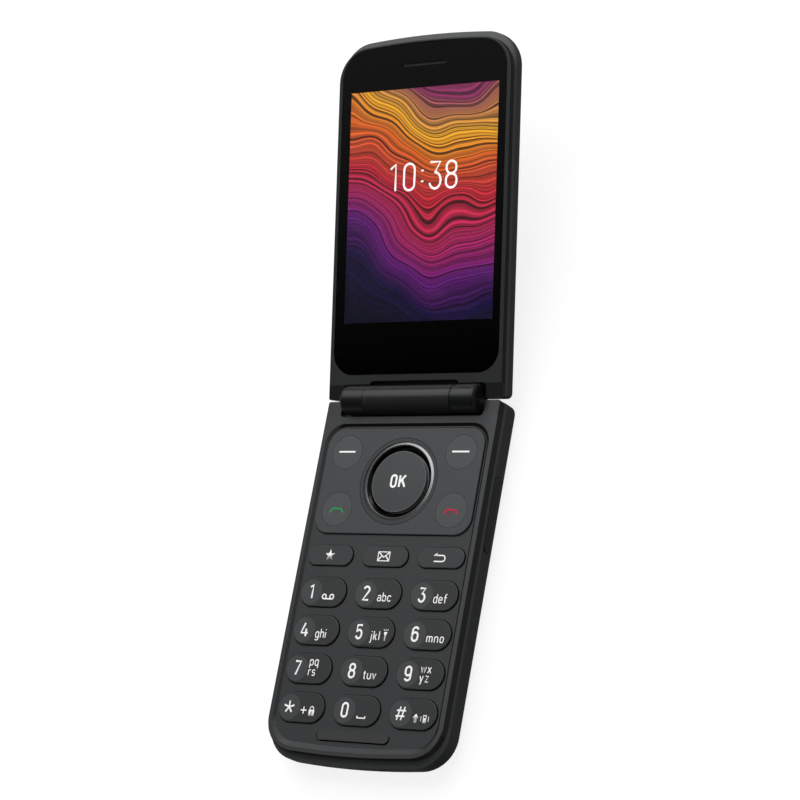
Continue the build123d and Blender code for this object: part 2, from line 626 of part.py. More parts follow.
def battery():
    """The flat lithium pack."""
    x = BATTERY_WIDTH / 2
    far = -BATTERY_NEAR - BATTERY_LENGTH
    pack = block(-x, x, far, -BATTERY_NEAR, BATTERY_TOP - BATTERY_THICKNESS, BATTERY_TOP)
    return fillet(pack.edges().filter_by(Axis.Y), BATTERY_ROUND)


def battery_contacts():
    """The contact block with three sprung tips that reach the battery."""
    x = CONTACT_WIDTH / 2
    near = -BATTERY_NEAR + CONTACT_DEPTH + BAY_WALL
    far = near - CONTACT_DEPTH
    block_part = block(-x, x, far, near, BOARD_BOTTOM - CONTACT_HEIGHT, BOARD_BOTTOM)
    tip = CONTACT_TIP_WIDTH / 2
    for index in (-1, 0, 1):
        middle = index * CONTACT_PITCH
        low = BOARD_BOTTOM - CONTACT_HEIGHT
        reach = -BATTERY_NEAR + FIT_GAP
        block_part += block(middle - tip, middle + tip, reach, far, low, low + 2 * tip)
    return block_part


def sheet_outline(inset, near):
    """An inner sheet or board, clear of the walls."""
    return base_side(plan(inset, near, FRONT_END_STEP + inset))


def boss_holes(radius, low, high):
    """Holes for the screws or bosses through an inner sheet."""
    holes = Part()
    for x, y in base_screw_places():
        holes += disc(radius, x, y, low, high)
    return holes


def keypad_membrane():
    """The silicone sheet under the keys, open under the navigation ring."""
    body = slab(sheet_outline(SHEET_INSET, SHEET_NEAR), MEMBRANE_BOTTOM, MEMBRANE_TOP)
    body -= boss_holes(BOSS_RADIUS + COVER_CLEARANCE, MEMBRANE_BOTTOM, MEMBRANE_TOP)
    opening = NAV_FLANGE_RADIUS + PANEL_CLEARANCE
    return body - disc(opening, 0, -NAV_Y, MEMBRANE_BOTTOM, MEMBRANE_TOP)


def dome_places():
    """One dome under each key and four under the navigation ring."""
    places = [(x, y) for _, x, y, _ in key_places()]
    places += [(x, y) for _, x, y in soft_key_places()]
    reach = (ACTUATOR_INNER + ACTUATOR_OUTER) / 2
    places += [(0, -NAV_Y), (reach, -NAV_Y), (-reach, -NAV_Y), (0, reach - NAV_Y), (0, -reach - NAV_Y)]
    return places


def dome_sheet():
    """The thin sheet that holds the metal snap domes on the board."""
    near = BOARD_NEAR + FLEX_LANDING + BOSS_CLEARANCE
    body = slab(sheet_outline(BOARD_INSET + WALL, near), BOARD_TOP, SHEET_TOP)
    body -= boss_holes(BOSS_RADIUS + COVER_CLEARANCE, BOARD_TOP, SHEET_TOP)
    for x, y in dome_places():
        cone = Cone(DOME_RADIUS, DOME_RADIUS / 2, DOME_HEIGHT)
        body += Pos(x, y, SHEET_TOP + DOME_HEIGHT / 2) * cone
    return body


def main_board():
    """The main board with the shield can under it."""
    body = slab(sheet_outline(BOARD_INSET, BOARD_NEAR), BOARD_BOTTOM, BOARD_TOP)
    body -= boss_holes(SCREW_RADIUS + SCREW_CLEARANCE, BOARD_BOTTOM, BOARD_TOP)
    left = JACK_END + SHIELD_GAP
    right = SPEAKER_X - SPEAKER_WIDTH / 2 - SHIELD_GAP
    outline = RectangleRounded(right - left, SHIELD_LENGTH, BATTERY_ROUND)
    can = slab(outline, BOARD_BOTTOM - SHIELD_HEIGHT, BOARD_BOTTOM)
    return body + Pos((left + right) / 2, -SHIELD_Y, 0) * can


def screws(places, seat, head_height, length):
    """One group of identical screws: heads at the seat, tips a length away along Z."""
    group = []
    for x, y in places:
        head = disc(SCREW_HEAD_RADIUS, x, y, *sorted((seat, seat + head_height)))
        shank = disc(SCREW_RADIUS, x, y, *sorted((seat, seat + length)))
        half = SCREW_SLOT_WIDTH / 2
        slot = block(x - SCREW_RADIUS, x + SCREW_RADIUS, y - half, y + half, seat - half, seat + half)
        group.append(head + shank - slot)
    return Compound(children=group)


def usb_port():
    """The charging socket: an open metal shell with its tongue."""
    outer = port_shape(0, 0, PORT_DEPTH)
    inner = port_shape(-PORT_SHELL, 0, PORT_DEPTH - PORT_SHELL)
    tongue = block(TONGUE_SET_BACK, PORT_DEPTH, -TONGUE_WIDTH / 2, TONGUE_WIDTH / 2,
                   -TONGUE_THICKNESS / 2, TONGUE_THICKNESS / 2)
    mouth = -HALF_WIDTH + PORT_SET_BACK
    return Pos(mouth, -PORT_Y, PORT_Z) * (outer - inner + tongue)


def port_shape(margin, start, end):
    """The socket's round ended section, along X from its mouth."""
    outline = Plane.YZ * SlotOverall(PORT_WIDTH + 2 * margin, PORT_HEIGHT + 2 * margin)
    return Pos(start, 0, 0) * extrude(outline, amount=end - start)


def headset_jack():
    """The headset socket: a block with a nose in the side wall and a round bore."""
    inner_wall = -HALF_WIDTH + WALL + FIT_GAP
    half = JACK_WIDTH / 2
    body = block(inner_wall, JACK_END, -JACK_Y - half, -JACK_Y + half, BOARD_BOTTOM - JACK_HEIGHT,
                 BOARD_BOTTOM)
    mouth = -HALF_WIDTH + JACK_SET_BACK
    body += drum(JACK_NOSE_RADIUS, mouth, inner_wall, -JACK_Y, JACK_Z)
    return body - drum(JACK_BORE_RADIUS, mouth, mouth + JACK_BORE_LENGTH, -JACK_Y, JACK_Z)


def loudspeaker():
    """The oblong loudspeaker, face down over the slots, with its raised cone ring."""
    outline = RectangleRounded(SPEAKER_WIDTH, SPEAKER_LENGTH, BATTERY_ROUND)
    body = Pos(SPEAKER_X, -SPEAKER_Y, 0) * slab(outline, FLOOR_TOP, FLOOR_TOP + SPEAKER_THICKNESS)
    hollow = SlotOverall(SPEAKER_WIDTH - 2 * WALL, SPEAKER_LENGTH - 2 * WALL)
    return body - Pos(SPEAKER_X, -SPEAKER_Y, 0) * slab(hollow, FLOOR_TOP, FLOOR_TOP + WALL)


def microphone():
    """The small microphone can at the far end of the board."""
    y = BASE_END + FRONT_END_STEP + BOARD_INSET + MIC_LENGTH / 2
    return block(-END_HOLE_X - MIC_WIDTH / 2, -END_HOLE_X + MIC_WIDTH / 2, y, y + MIC_LENGTH,
                 BOARD_BOTTOM - MIC_HEIGHT, BOARD_BOTTOM)


def vibration_motor():
    """The motor's can, lying on the floor, with the bore for its shaft."""
    body = drum(MOTOR_RADIUS, MOTOR_X, MOTOR_X + MOTOR_LENGTH, -MOTOR_Y, MOTOR_Z)
    shaft = MOTOR_SHAFT_RADIUS + RUNNING_CLEARANCE
    end = MOTOR_X + MOTOR_LENGTH
    return body - drum(shaft, end - MOTOR_SHAFT_GRIP - RUNNING_CLEARANCE, end, -MOTOR_Y, MOTOR_Z)


def vibration_weight():
    """The half round weight on its shaft."""
    start = MOTOR_X + MOTOR_LENGTH
    end = start + WEIGHT_GAP + WEIGHT_LENGTH
    half = drum(WEIGHT_RADIUS, start + WEIGHT_GAP, end, -MOTOR_Y, MOTOR_Z)
    half &= block(start, end, -MOTOR_Y - WEIGHT_RADIUS, -MOTOR_Y + WEIGHT_RADIUS, MOTOR_Z - WEIGHT_RADIUS,
                  MOTOR_Z)
    return half + drum(MOTOR_SHAFT_RADIUS, start - MOTOR_SHAFT_GRIP, end, -MOTOR_Y, MOTOR_Z)


def sim_socket():
    """The card holder under the board: a tray with a slot for the card."""
    bottom = BOARD_BOTTOM - SIM_THICKNESS
    far = -SIM_Y - SIM_LENGTH / 2
    near = far + SIM_LENGTH
    body = block(-SIM_WIDTH / 2, SIM_WIDTH / 2, far, near, bottom, BOARD_BOTTOM)
    x = SIM_WIDTH / 2 - PORT_SHELL
    return body - block(-x, x, far, near - PORT_SHELL, bottom + PORT_SHELL, BOARD_BOTTOM - PORT_SHELL)


def pill_key(x, y, height):
    """A pill key with rounded edges and the flange that keeps it under the deck."""
    cap = slab(pill(KEY_WIDTH, height), FLANGE_BOTTOM, FACE - KEY_DROP)
    cap = fillet(cap.edges().group_by(Axis.Z)[-1], KEY_EDGE_ROUND)
    flange = slab(pill(KEY_WIDTH, height, FLANGE_MARGIN), FLANGE_BOTTOM, FLANGE_TOP)
    return Pos(x, y, 0) * (cap + flange)


def soft_key(x, y):
    """A round key, flush with the navigation panel, with a flange that clears the ring's."""
    flange = disc(SOFT_KEY_RADIUS + FLANGE_MARGIN, x, y, FLANGE_BOTTOM, FLANGE_TOP)
    flange -= disc(NAV_FLANGE_RADIUS + PANEL_CLEARANCE, 0, -NAV_Y, FLANGE_BOTTOM, FLANGE_TOP)
    return flange + disc(SOFT_KEY_RADIUS, x, y, FLANGE_BOTTOM, PANEL_TOP)


def nav_panel():
    """The raised panel around the navigation keys, seated in the deck's pocket."""
    body = slab(panel_outline(), PANEL_SEAT, PANEL_TOP)
    body = fillet(body.edges().group_by(Axis.Z)[-1], PANEL_EDGE_ROUND)
    body -= disc(NAV_OUTER_RADIUS + NAV_CLEARANCE, 0, -NAV_Y, PANEL_SEAT, PANEL_TOP)
    for _, x, y in soft_key_places():
        body -= disc(SOFT_KEY_RADIUS + SOFT_KEY_CLEARANCE, x, y, PANEL_SEAT, PANEL_TOP)
    return body


def ring(points):
    """A solid of revolution about the navigation axis, from its section."""
    section = make_face(Plane.XZ * Polyline(*points, close=True))
    return Pos(0, -NAV_Y, 0) * revolve(section, Axis.Z)


def nav_ring():
    """The rocking ring: flat lip, seat for the trim and a slope down to the OK key."""
    return ring([
        (NAV_INNER_RADIUS, NAV_BODY_BOTTOM),
        (ACTUATOR_OUTER + NAV_CLEARANCE, NAV_BODY_BOTTOM),
        (ACTUATOR_OUTER + NAV_CLEARANCE, NAV_FLANGE_BOTTOM),
        (NAV_FLANGE_RADIUS, NAV_FLANGE_BOTTOM),
        (NAV_FLANGE_RADIUS, NAV_FLANGE_TOP),
        (NAV_OUTER_RADIUS, NAV_FLANGE_TOP),
        (NAV_OUTER_RADIUS, PANEL_TOP),
        (NAV_TRIM_OUTER, PANEL_TOP),
        (NAV_TRIM_OUTER, PANEL_TOP - NAV_TRIM_SEAT),
        (NAV_TRIM_INNER, PANEL_TOP - NAV_TRIM_SEAT),
        (NAV_INNER_RADIUS, FACE - NAV_MOAT_DEPTH),
    ])


def nav_trim():
    """The bright ring in its seat, highest along a crest near its inner edge."""
    return ring([
        (NAV_TRIM_INNER, PANEL_TOP - NAV_TRIM_SEAT),
        (NAV_TRIM_OUTER, PANEL_TOP - NAV_TRIM_SEAT),
        (NAV_TRIM_OUTER, PANEL_TOP - NAV_TRIM_OUTER_FALL),
        (NAV_TRIM_CREST, PANEL_TOP),
        (NAV_TRIM_INNER, PANEL_TOP - NAV_TRIM_INNER_FALL),
    ])


def nav_actuator():
    """The plate under the ring that carries it fore and aft."""
    body = disc(ACTUATOR_OUTER, 0, -NAV_Y, ACTUATOR_BOTTOM, ACTUATOR_TOP)
    return body - disc(ACTUATOR_INNER, 0, -NAV_Y, ACTUATOR_BOTTOM, ACTUATOR_TOP)


def ok_key():
    """The round middle key, slightly crowned, on its stem."""
    cap_bottom = FLANGE_TOP + 2 * KEY_TRAVEL
    edge = PANEL_TOP - OK_EDGE_DROP
    stem_bottom = ACTUATOR_BOTTOM + KEY_TRAVEL
    crown = TangentArc((0, PANEL_TOP), (OK_RADIUS, edge), tangent=(1, 0))
    sides = Polyline((OK_RADIUS, edge), (OK_RADIUS, cap_bottom), (OK_STEM_RADIUS, cap_bottom),
                     (OK_STEM_RADIUS, stem_bottom), (0, stem_bottom), (0, PANEL_TOP))
    section = make_face(Plane.XZ * (crown + sides))
    return Pos(0, -NAV_Y, 0) * revolve(section, Axis.Z)


def rocker_solid(margin, x0, x1):
    """The rocker's pill section between two places along X."""
    outline = Plane.YZ * SlotOverall(ROCKER_LENGTH + 2 * margin, ROCKER_HEIGHT + 2 * margin)
    return Pos(x0, -ROCKER_Y, ROCKER_Z) * extrude(outline, amount=x1 - x0)


def volume_rocker():
    """The long side key with the flange behind the wall."""
    flange_face = HALF_WIDTH - WALL - ROCKER_GAP
    cap = rocker_solid(0, flange_face, HALF_WIDTH + ROCKER_PROUD)
    cap = fillet(cap.edges().group_by(Axis.X)[-1], ROCKER_PROUD / 2)
    return cap + rocker_solid(FLANGE_MARGIN, flange_face - ROCKER_FLANGE, flange_face)


def hinge_can():
    """The spring module's can in the middle knuckle, open where the cam shaft leaves."""
    body = drum(CAN_RADIUS, CAN_START, CAN_END)
    body -= drum(CAN_BORE_RADIUS, CAN_START + CAN_WALL, CAN_END - CAN_WALL)
    return body - drum(PIN_RADIUS + 2 * RUNNING_CLEARANCE, CAN_END - CAN_WALL, CAN_END)


def hinge_cam():
    """The cam and its shaft, held in the right knuckle of the lid."""
    end = CAN_END - CAN_WALL - CAM_GAP
    body = drum(CAM_RADIUS, end - CAM_LENGTH, end)
    return body + drum(PIN_RADIUS, end, BARREL_CORE - CAP_LENGTH)


def hinge_follower():
    """The follower that the spring presses on the cam."""
    end = CAN_END - CAN_WALL - 2 * CAM_GAP - CAM_LENGTH
    return drum(CAM_RADIUS, end - FOLLOWER_LENGTH, end)


def hinge_spring():
    """The coil spring between the can's closed end and the follower."""
    start = CAN_START + CAN_WALL + SPRING_WIRE_RADIUS + RUNNING_CLEARANCE
    follower = CAN_END - CAN_WALL - 2 * CAM_GAP - CAM_LENGTH - FOLLOWER_LENGTH
    length = follower - SPRING_WIRE_RADIUS - RUNNING_CLEARANCE - start
    path = Helix(SPRING_PITCH, length, SPRING_RADIUS)
    section = Plane(origin=path @ 0, z_dir=path % 0) * Circle(SPRING_WIRE_RADIUS)
    coil = sweep(section, path=path)
    return Pos(start, 0, 0) * Rot(0, 90, 0) * coil


def hinge_pin():
    """The plain pin on the left, held in the lid's knuckle."""
    return drum(PIN_RADIUS, -BARREL_CORE, KNUCKLE_WALL / 2)


def hinge_caps():
    """The two round ends of the barrel."""
    caps = []
    for side in (-1, 1):
        low, high = sorted((side * BARREL_CORE, side * BARREL_HALF_LENGTH))
        cap = drum(BARREL_RADIUS, low, high)
        end = cap.edges().group_by(Axis.X)[-1 if side > 0 else 0]
        caps.append(fillet(end, BARREL_END_ROUND))
    return Compound(children=caps)


def flex_roll(x0, x1):
    """The flex's roll around the pin."""
    roll = drum(FLEX_ROLL_RADIUS, x0, x1)
    return roll - drum(FLEX_ROLL_RADIUS - FLEX_THICKNESS, x0, x1)


def hinge_flex_base():
    """The base's half of the flex: from the board into the barrel."""
    left = -FLEX_BASE_WIDTH - KNUCKLE_WALL
    ribbon = block(left, -KNUCKLE_WALL, -BOARD_NEAR - FLEX_LANDING, 0, FLEX_LEVEL,
                   FLEX_LEVEL + FLEX_THICKNESS)
    ribbon -= drum(FLEX_ROLL_RADIUS - FLEX_THICKNESS, left, -KNUCKLE_WALL)
    return flex_roll(KNUCKLE_LEFT, -KNUCKLE_WALL) + ribbon


def hinge_flex_lid():
    """The lid's half of the flex: from the barrel to the lid board."""
    start = -KNUCKLE_SEAM - SEAM_LEFT / 2
    ribbon = block(start - FLEX_LID_WIDTH, start, 0, LID_BOARD_NEAR + FLEX_LANDING, FLEX_LEVEL,
                   FLEX_LEVEL + FLEX_THICKNESS)
    ribbon -= drum(FLEX_ROLL_RADIUS - FLEX_THICKNESS, start - FLEX_LID_WIDTH, start)
    return flex_roll(start - FLEX_LID_WIDTH, start) + ribbon


def lid_notch():
    """The space around the barrel in the lid, wider behind the middle knuckle."""
    space = notch(LID_NOTCH_RADIUS, NOTCH_HALF_WIDTH)
    return space + notch(LID_MIDDLE_NOTCH_RADIUS, KNUCKLE_SEAM + SEAM_RIGHT)


def glass_outline(margin=0.0):
    """The display glass's outline."""
    inset = (WIDTH - GLASS_WIDTH) / 2 - margin
    return plan(inset, GLASS_NEAR - margin, GLASS_FAR_RIM - margin, GLASS_NEAR_CORNER)


def display_block(margin, low, high):
    """The display module's place behind the glass, with a margin."""
    half = SCREEN_WIDTH / 2 + DISPLAY_BORDER + margin
    near = SCREEN_NEAR - DISPLAY_CHIN - margin
    far = SCREEN_NEAR + SCREEN_LENGTH + DISPLAY_BORDER + margin
    return block(-half, half, near, far, low, high)


def lid_knuckles():
    """The lid's two end knuckles, each with its web, bore and pin seat."""
    left = -KNUCKLE_SEAM - SEAM_LEFT / 2
    right = KNUCKLE_SEAM + SEAM_RIGHT / 2
    body = Part()
    for x0, x1 in ((-BARREL_CORE, left), (right, BARREL_CORE)):
        body += drum(BARREL_RADIUS, x0, x1)
        body += block(x0, x1, 0, KNUCKLE_WEB_REACH, -BARREL_RADIUS, LID_SPLIT)
    body -= drum(KNUCKLE_BORE_RADIUS, -BARREL_CORE + KNUCKLE_WALL, left)
    body -= drum(PIN_RADIUS, -BARREL_CORE, -BARREL_CORE + KNUCKLE_WALL)
    body -= drum(PIN_RADIUS, right, BARREL_CORE - CAP_LENGTH)
    body -= block(left - FLEX_LID_WIDTH - FIT_GAP, left, 0, KNUCKLE_WEB_REACH, FLEX_LEVEL - FIT_GAP,
                  FLEX_LEVEL + FLEX_THICKNESS + FIT_GAP)
    return body


def lid_front_frame():
    """The frame around the display glass, with its shelves and the end knuckles."""
    body = front_part(LID_SPLIT, LID_SIDE_LEAN, LID_FRONT_ROUND)
    body -= slab(glass_outline(GLASS_CLEARANCE), GLASS_SEAT, FACE)
    body -= display_block(DISPLAY_CLEARANCE, LID_SPLIT, GLASS_SEAT)
    body -= lid_notch()
    half = EARPIECE_WIDTH / 2 + DISPLAY_CLEARANCE
    tall = EARPIECE_LENGTH / 2 + DISPLAY_CLEARANCE
    body -= block(-half, half, EARPIECE_U - tall, EARPIECE_U + tall, LID_SPLIT, GLASS_SEAT)
    for x, u in mirrored(LID_SCREWS):
        body += disc(PAD_RADIUS, x, u, PAD_BOTTOM, LID_SPLIT)
        body -= disc(SCREW_HEAD_RADIUS + SCREW_CLEARANCE, x, u, GLASS_SEAT - SCREW_HEAD_HEIGHT, GLASS_SEAT)
        body -= disc(SCREW_RADIUS + SCREW_CLEARANCE, x, u, PAD_BOTTOM, GLASS_SEAT)
    return body + lid_knuckles()


def lid_rear_cover():
    """The lid's back shell with the outer window's pocket, bosses and board posts."""
    body = rear_part(LID_BACK, LID_SPLIT, LID_BACK_ROUND)
    body -= slab(plan(LID_WALL, LID_CAVITY_NEAR, FRONT_END_STEP + LID_WALL), LID_INNER, LID_SPLIT)
    for x, u in mirrored(LID_SCREWS):
        body += disc(BOSS_RADIUS, x, u, LID_INNER, PAD_BOTTOM)
        body -= disc(SCREW_RADIUS, x, u, LID_INNER, PAD_BOTTOM)
    reach = LID_BOARD_WIDTH / 2 - 2 * POST_RADIUS
    for x in (-reach, reach):
        for u in (LID_BOARD_NEAR + 2 * POST_RADIUS, LID_BOARD_FAR - 2 * POST_RADIUS):
            body += disc(POST_RADIUS, x, u, LID_INNER, LID_BOARD_BOTTOM)
    body -= lid_notch()
    gap = COVER_CLEARANCE
    for x0, x1 in ((-BARREL_CORE, -KNUCKLE_SEAM), (KNUCKLE_SEAM, BARREL_CORE)):
        body -= block(x0 - gap, x1 + gap, 0, KNUCKLE_WEB_REACH + gap, -BARREL_RADIUS - gap, LID_SPLIT)
    body -= slab(window_outline(WINDOW_CLEARANCE), LID_BACK, WINDOW_SEAT)
    body -= outer_screen_block(DISPLAY_CLEARANCE, WINDOW_SEAT, LID_INNER)
    return body - disc(CAMERA_LENS_RADIUS + FIT_GAP, CAMERA_X, CAMERA_U, WINDOW_SEAT, LID_INNER)


def window_outline(margin=0.0):
    """The outer window's rounded outline on the back of the lid."""
    shape = RectangleRounded(WINDOW_WIDTH + 2 * margin, WINDOW_LENGTH + 2 * margin, WINDOW_CORNER + margin)
    return Pos(0, WINDOW_NEAR + WINDOW_LENGTH / 2) * shape


def outer_screen_block(margin, low, high):
    """The outer display's place under the window."""
    x = OUTER_SCREEN_WIDTH / 2 + margin
    half = OUTER_SCREEN_LENGTH / 2 + margin
    return block(-x, x, OUTER_SCREEN_U - half, OUTER_SCREEN_U + half, low, high)


def display_glass():
    """The cover glass with the earpiece slot."""
    body = slab(glass_outline(), GLASS_SEAT, GLASS_TOP)
    slot = SlotOverall(EAR_SLOT_WIDTH, EAR_SLOT_HEIGHT)
    return body - Pos(0, EARPIECE_U, 0) * slab(slot, GLASS_SEAT, GLASS_TOP)


def earpiece():
    """The small receiver under the slot in the glass."""
    outline = RectangleRounded(EARPIECE_WIDTH, EARPIECE_LENGTH, BATTERY_ROUND)
    top = GLASS_SEAT - FIT_GAP
    return Pos(0, EARPIECE_U, 0) * slab(outline, top - EARPIECE_THICKNESS, top)


def earpiece_mesh():
    """The mesh strip in the glass's slot."""
    margin = -MESH_CLEARANCE
    outline = pill(EAR_SLOT_WIDTH, EAR_SLOT_HEIGHT, margin)
    return Pos(0, EARPIECE_U, 0) * slab(outline, GLASS_SEAT, GLASS_SEAT + MESH_THICKNESS)


def outer_window():
    """The dark window over the outer display and the camera."""
    return slab(window_outline(), LID_BACK, WINDOW_SEAT)


def camera_module():
    """The camera: a square body with its lens barrel behind the window."""
    lens_end = WINDOW_SEAT + FIT_GAP
    shoulder = LID_INNER + FIT_GAP
    body = disc(CAMERA_LENS_RADIUS, CAMERA_X, CAMERA_U, lens_end, shoulder)
    half = CAMERA_SIZE / 2
    return body + block(CAMERA_X - half, CAMERA_X + half, CAMERA_U - half, CAMERA_U + half, shoulder,
                        shoulder + CAMERA_DEPTH)


def lid_board():
    """The small board behind the display."""
    x = LID_BOARD_WIDTH / 2
    return block(-x, x, LID_BOARD_NEAR, LID_BOARD_FAR, LID_BOARD_BOTTOM, LID_BOARD_TOP)


def base_pieces():
    """Every piece of the base half, by name."""
    pieces = {
        "front_housing": front_housing(),
        "rear_housing": rear_housing(),
        "battery_cover": battery_cover(),
        "nav_panel": nav_panel(),
        "nav_ring": nav_ring(),
        "nav_trim": nav_trim(),
        "nav_actuator": nav_actuator(),
        "ok_key": ok_key(),
        "volume_rocker": volume_rocker(),
        "keypad_membrane": keypad_membrane(),
        "dome_sheet": dome_sheet(),
        "main_board": main_board(),
        "battery": battery(),
        "battery_contacts": battery_contacts(),
        "usb_port": usb_port(),
        "headset_jack": headset_jack(),
        "loudspeaker": loudspeaker(),
        "microphone": microphone(),
        "vibration_motor": vibration_motor(),
        "vibration_weight": vibration_weight(),
        "sim_socket": sim_socket(),
        "base_screws": screws(base_screw_places(), COVER_SEAT, SCREW_HEAD_HEIGHT, DECK_BOTTOM - COVER_SEAT),
        "hinge_can": hinge_can(),
        "hinge_follower": hinge_follower(),
        "hinge_spring": hinge_spring(),
        "hinge_flex_base": hinge_flex_base(),
    }
    for name, x, y, height in key_places():
        pieces[name] = pill_key(x, y, height)
    for name, x, y in soft_key_places():
        pieces[name] = soft_key(x, y)
    return pieces


def lid_pieces():
    """Every piece of the lid half, by name."""
    return {
        "lid_front_frame": lid_front_frame(),
        "lid_rear_cover": lid_rear_cover(),
        "display_glass": display_glass(),
        "display_module": display_block(0, DISPLAY_BOTTOM, DISPLAY_TOP),
        "earpiece": earpiece(),
        "earpiece_mesh": earpiece_mesh(),
        "outer_window": outer_window(),
        "outer_display": outer_screen_block(0, WINDOW_SEAT, WINDOW_SEAT + OUTER_SCREEN_THICKNESS),
        "camera_module": camera_module(),
        "lid_board": lid_board(),
        "lid_screws": screws(mirrored(LID_SCREWS), GLASS_SEAT, -SCREW_HEAD_HEIGHT, LID_INNER - GLASS_SEAT),
        "hinge_cam": hinge_cam(),
        "hinge_pin": hinge_pin(),
        "hinge_caps": hinge_caps(),
        "hinge_flex_lid": hinge_flex_lid(),
    }


os.makedirs("parts", exist_ok=True)
hinge = Pos(0, HINGE_Y, HINGE_Z)
for name, piece in base_pieces().items():
    export_step(hinge * piece, f"parts/{name}.step")
for name, piece in lid_pieces().items():
    export_step(hinge * Rot(REST_TILT, 0, 0) * piece, f"parts/{name}.step")
print("hinge axis", HINGE_Y, HINGE_Z)
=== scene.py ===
"""The looks of an open folding phone, piece by piece, in the order in which it is put together.

Lengths on the phone are in millimetres, and MM turns them into the frame's metres. The camera and the
studio are set out in metres.
"""

import json
import math

import bmesh
import bpy
from mathutils import Matrix, Vector


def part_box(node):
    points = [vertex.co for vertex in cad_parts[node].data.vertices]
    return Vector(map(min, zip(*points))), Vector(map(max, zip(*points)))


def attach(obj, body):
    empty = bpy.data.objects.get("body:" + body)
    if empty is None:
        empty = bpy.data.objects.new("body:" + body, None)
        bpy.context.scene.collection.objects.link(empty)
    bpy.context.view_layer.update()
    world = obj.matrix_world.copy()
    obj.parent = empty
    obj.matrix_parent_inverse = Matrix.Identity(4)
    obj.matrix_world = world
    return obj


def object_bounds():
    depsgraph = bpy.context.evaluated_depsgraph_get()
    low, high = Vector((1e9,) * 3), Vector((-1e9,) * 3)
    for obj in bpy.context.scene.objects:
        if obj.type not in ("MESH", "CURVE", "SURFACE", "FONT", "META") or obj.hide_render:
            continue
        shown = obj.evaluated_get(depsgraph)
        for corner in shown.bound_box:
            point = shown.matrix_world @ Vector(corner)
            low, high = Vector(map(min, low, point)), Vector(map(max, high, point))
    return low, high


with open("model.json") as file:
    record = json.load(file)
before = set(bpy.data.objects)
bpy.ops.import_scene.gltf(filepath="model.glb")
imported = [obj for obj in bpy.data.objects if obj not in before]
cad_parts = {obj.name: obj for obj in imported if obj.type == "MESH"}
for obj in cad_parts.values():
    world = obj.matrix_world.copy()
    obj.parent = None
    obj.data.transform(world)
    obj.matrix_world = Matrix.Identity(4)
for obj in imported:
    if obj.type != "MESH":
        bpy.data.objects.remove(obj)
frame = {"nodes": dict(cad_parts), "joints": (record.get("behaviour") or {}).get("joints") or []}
cad_low, cad_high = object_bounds()
nodes = frame["nodes"]
MM = 0.001

# The camera stands to the right of the keypad and well above it, with a long lens that takes in the
# whole phone from the far corner of the lid to the keypad's end.
EYE = (0.4110, -0.1597, 0.5932)
EYE_TURN = (23.030, 31.904, 11.905)
EYE_LENS = 122.2
EYE_SENSOR = 36.0
EYE_CLIP = (0.05, 20.0)


def show(name, data):
    """A new object in the scene, made from its camera, lamp or mesh."""
    thing = bpy.data.objects.new(name, data)
    bpy.context.scene.collection.objects.link(thing)
    return thing


eye_data = bpy.data.cameras.new("photo_camera")
eye_data.lens = EYE_LENS
eye_data.sensor_width = EYE_SENSOR
eye_data.clip_start, eye_data.clip_end = EYE_CLIP
eye = show("photo_camera", eye_data)
eye.location = EYE
eye.rotation_euler = [math.radians(angle) for angle in EYE_TURN]
bpy.context.scene.camera = eye
bpy.context.scene.view_settings.view_transform = "Standard"


# The studio is a white sweep under a wide softbox, which hangs above and behind the phone and reaches
# out to the left. A weak dome of light fills in. The lens sees the sweep white, and gloss shows it
# dimmer.
SUBJECT = Vector((0.0, 0.05, 0.01))
SOFTBOX_TOWARD = Vector((0.0, 0.60, 0.80))
SOFTBOX_DISTANCE = 1.20
SOFTBOX_ASIDE = Vector((-0.24, 0.0, 0.0))
SOFTBOX_SIZE = (1.60, 1.20)
SOFTBOX_POWER = 19.5
DOME_LEVEL = 0.28
CEILING_SPAN = (-0.14, 0.0)
CEILING_GLOSS = 0.20
HORIZON_SPAN = (0.08, 0.30)
HORIZON_GLOSS = 0.45
SWEEP_SIZE = 12.0
SWEEP_GLOW = 0.85
SWEEP_GLOSS = 0.15
SWEEP_SHADE = (0.2, 0.2, 0.2, 1)
SWEEP_RETURN = (0.22, 0.22, 0.22, 1)


def wire(tree, node, values):
    """Gives a node its inputs. Each is a number, a colour or another socket."""
    for key, value in values.items():
        if isinstance(value, bpy.types.NodeSocket):
            tree.links.new(value, node.inputs[key])
        else:
            node.inputs[key].default_value = value


def add(tree, kind, values=None, **settings):
    """A new node in the tree, with its settings and inputs."""
    node = tree.nodes.new(kind)
    for name, value in settings.items():
        setattr(node, name, value)
    wire(tree, node, values or {})
    return node


def math_node(tree, operation, *values):
    """The result of one sum on numbers and sockets."""
    return add(tree, "ShaderNodeMath", dict(enumerate(values)), operation=operation).outputs[0]


def split(tree, vector):
    """The X, Y and Z of a vector."""
    return add(tree, "ShaderNodeSeparateXYZ", {0: vector}).outputs


def ramp_between(tree, value, span, levels=(0.0, 1.0)):
    """Goes from one level to the other while a value goes from one end of its span to the other."""
    ends = {"From Min": span[0], "From Max": span[1], "To Min": levels[0], "To Max": levels[1]}
    return add(tree, "ShaderNodeMapRange", {"Value": value, **ends}).outputs[0]


def seen_in(tree, path, gloss_level):
    """Full light to the lens, and a level of it to rays that gloss or glass has sent on."""
    sent_on = math_node(tree, "MAXIMUM", path["Is Glossy Ray"], path["Is Transmission Ray"])
    dimmed = math_node(tree, "MULTIPLY", sent_on, gloss_level)
    return math_node(tree, "MAXIMUM", path["Is Camera Ray"], dimmed)


def mesh_from(name, shape):
    """A mesh made of a shape, which is used up."""
    mesh = bpy.data.meshes.new(name)
    shape.to_mesh(mesh)
    shape.free()
    return mesh


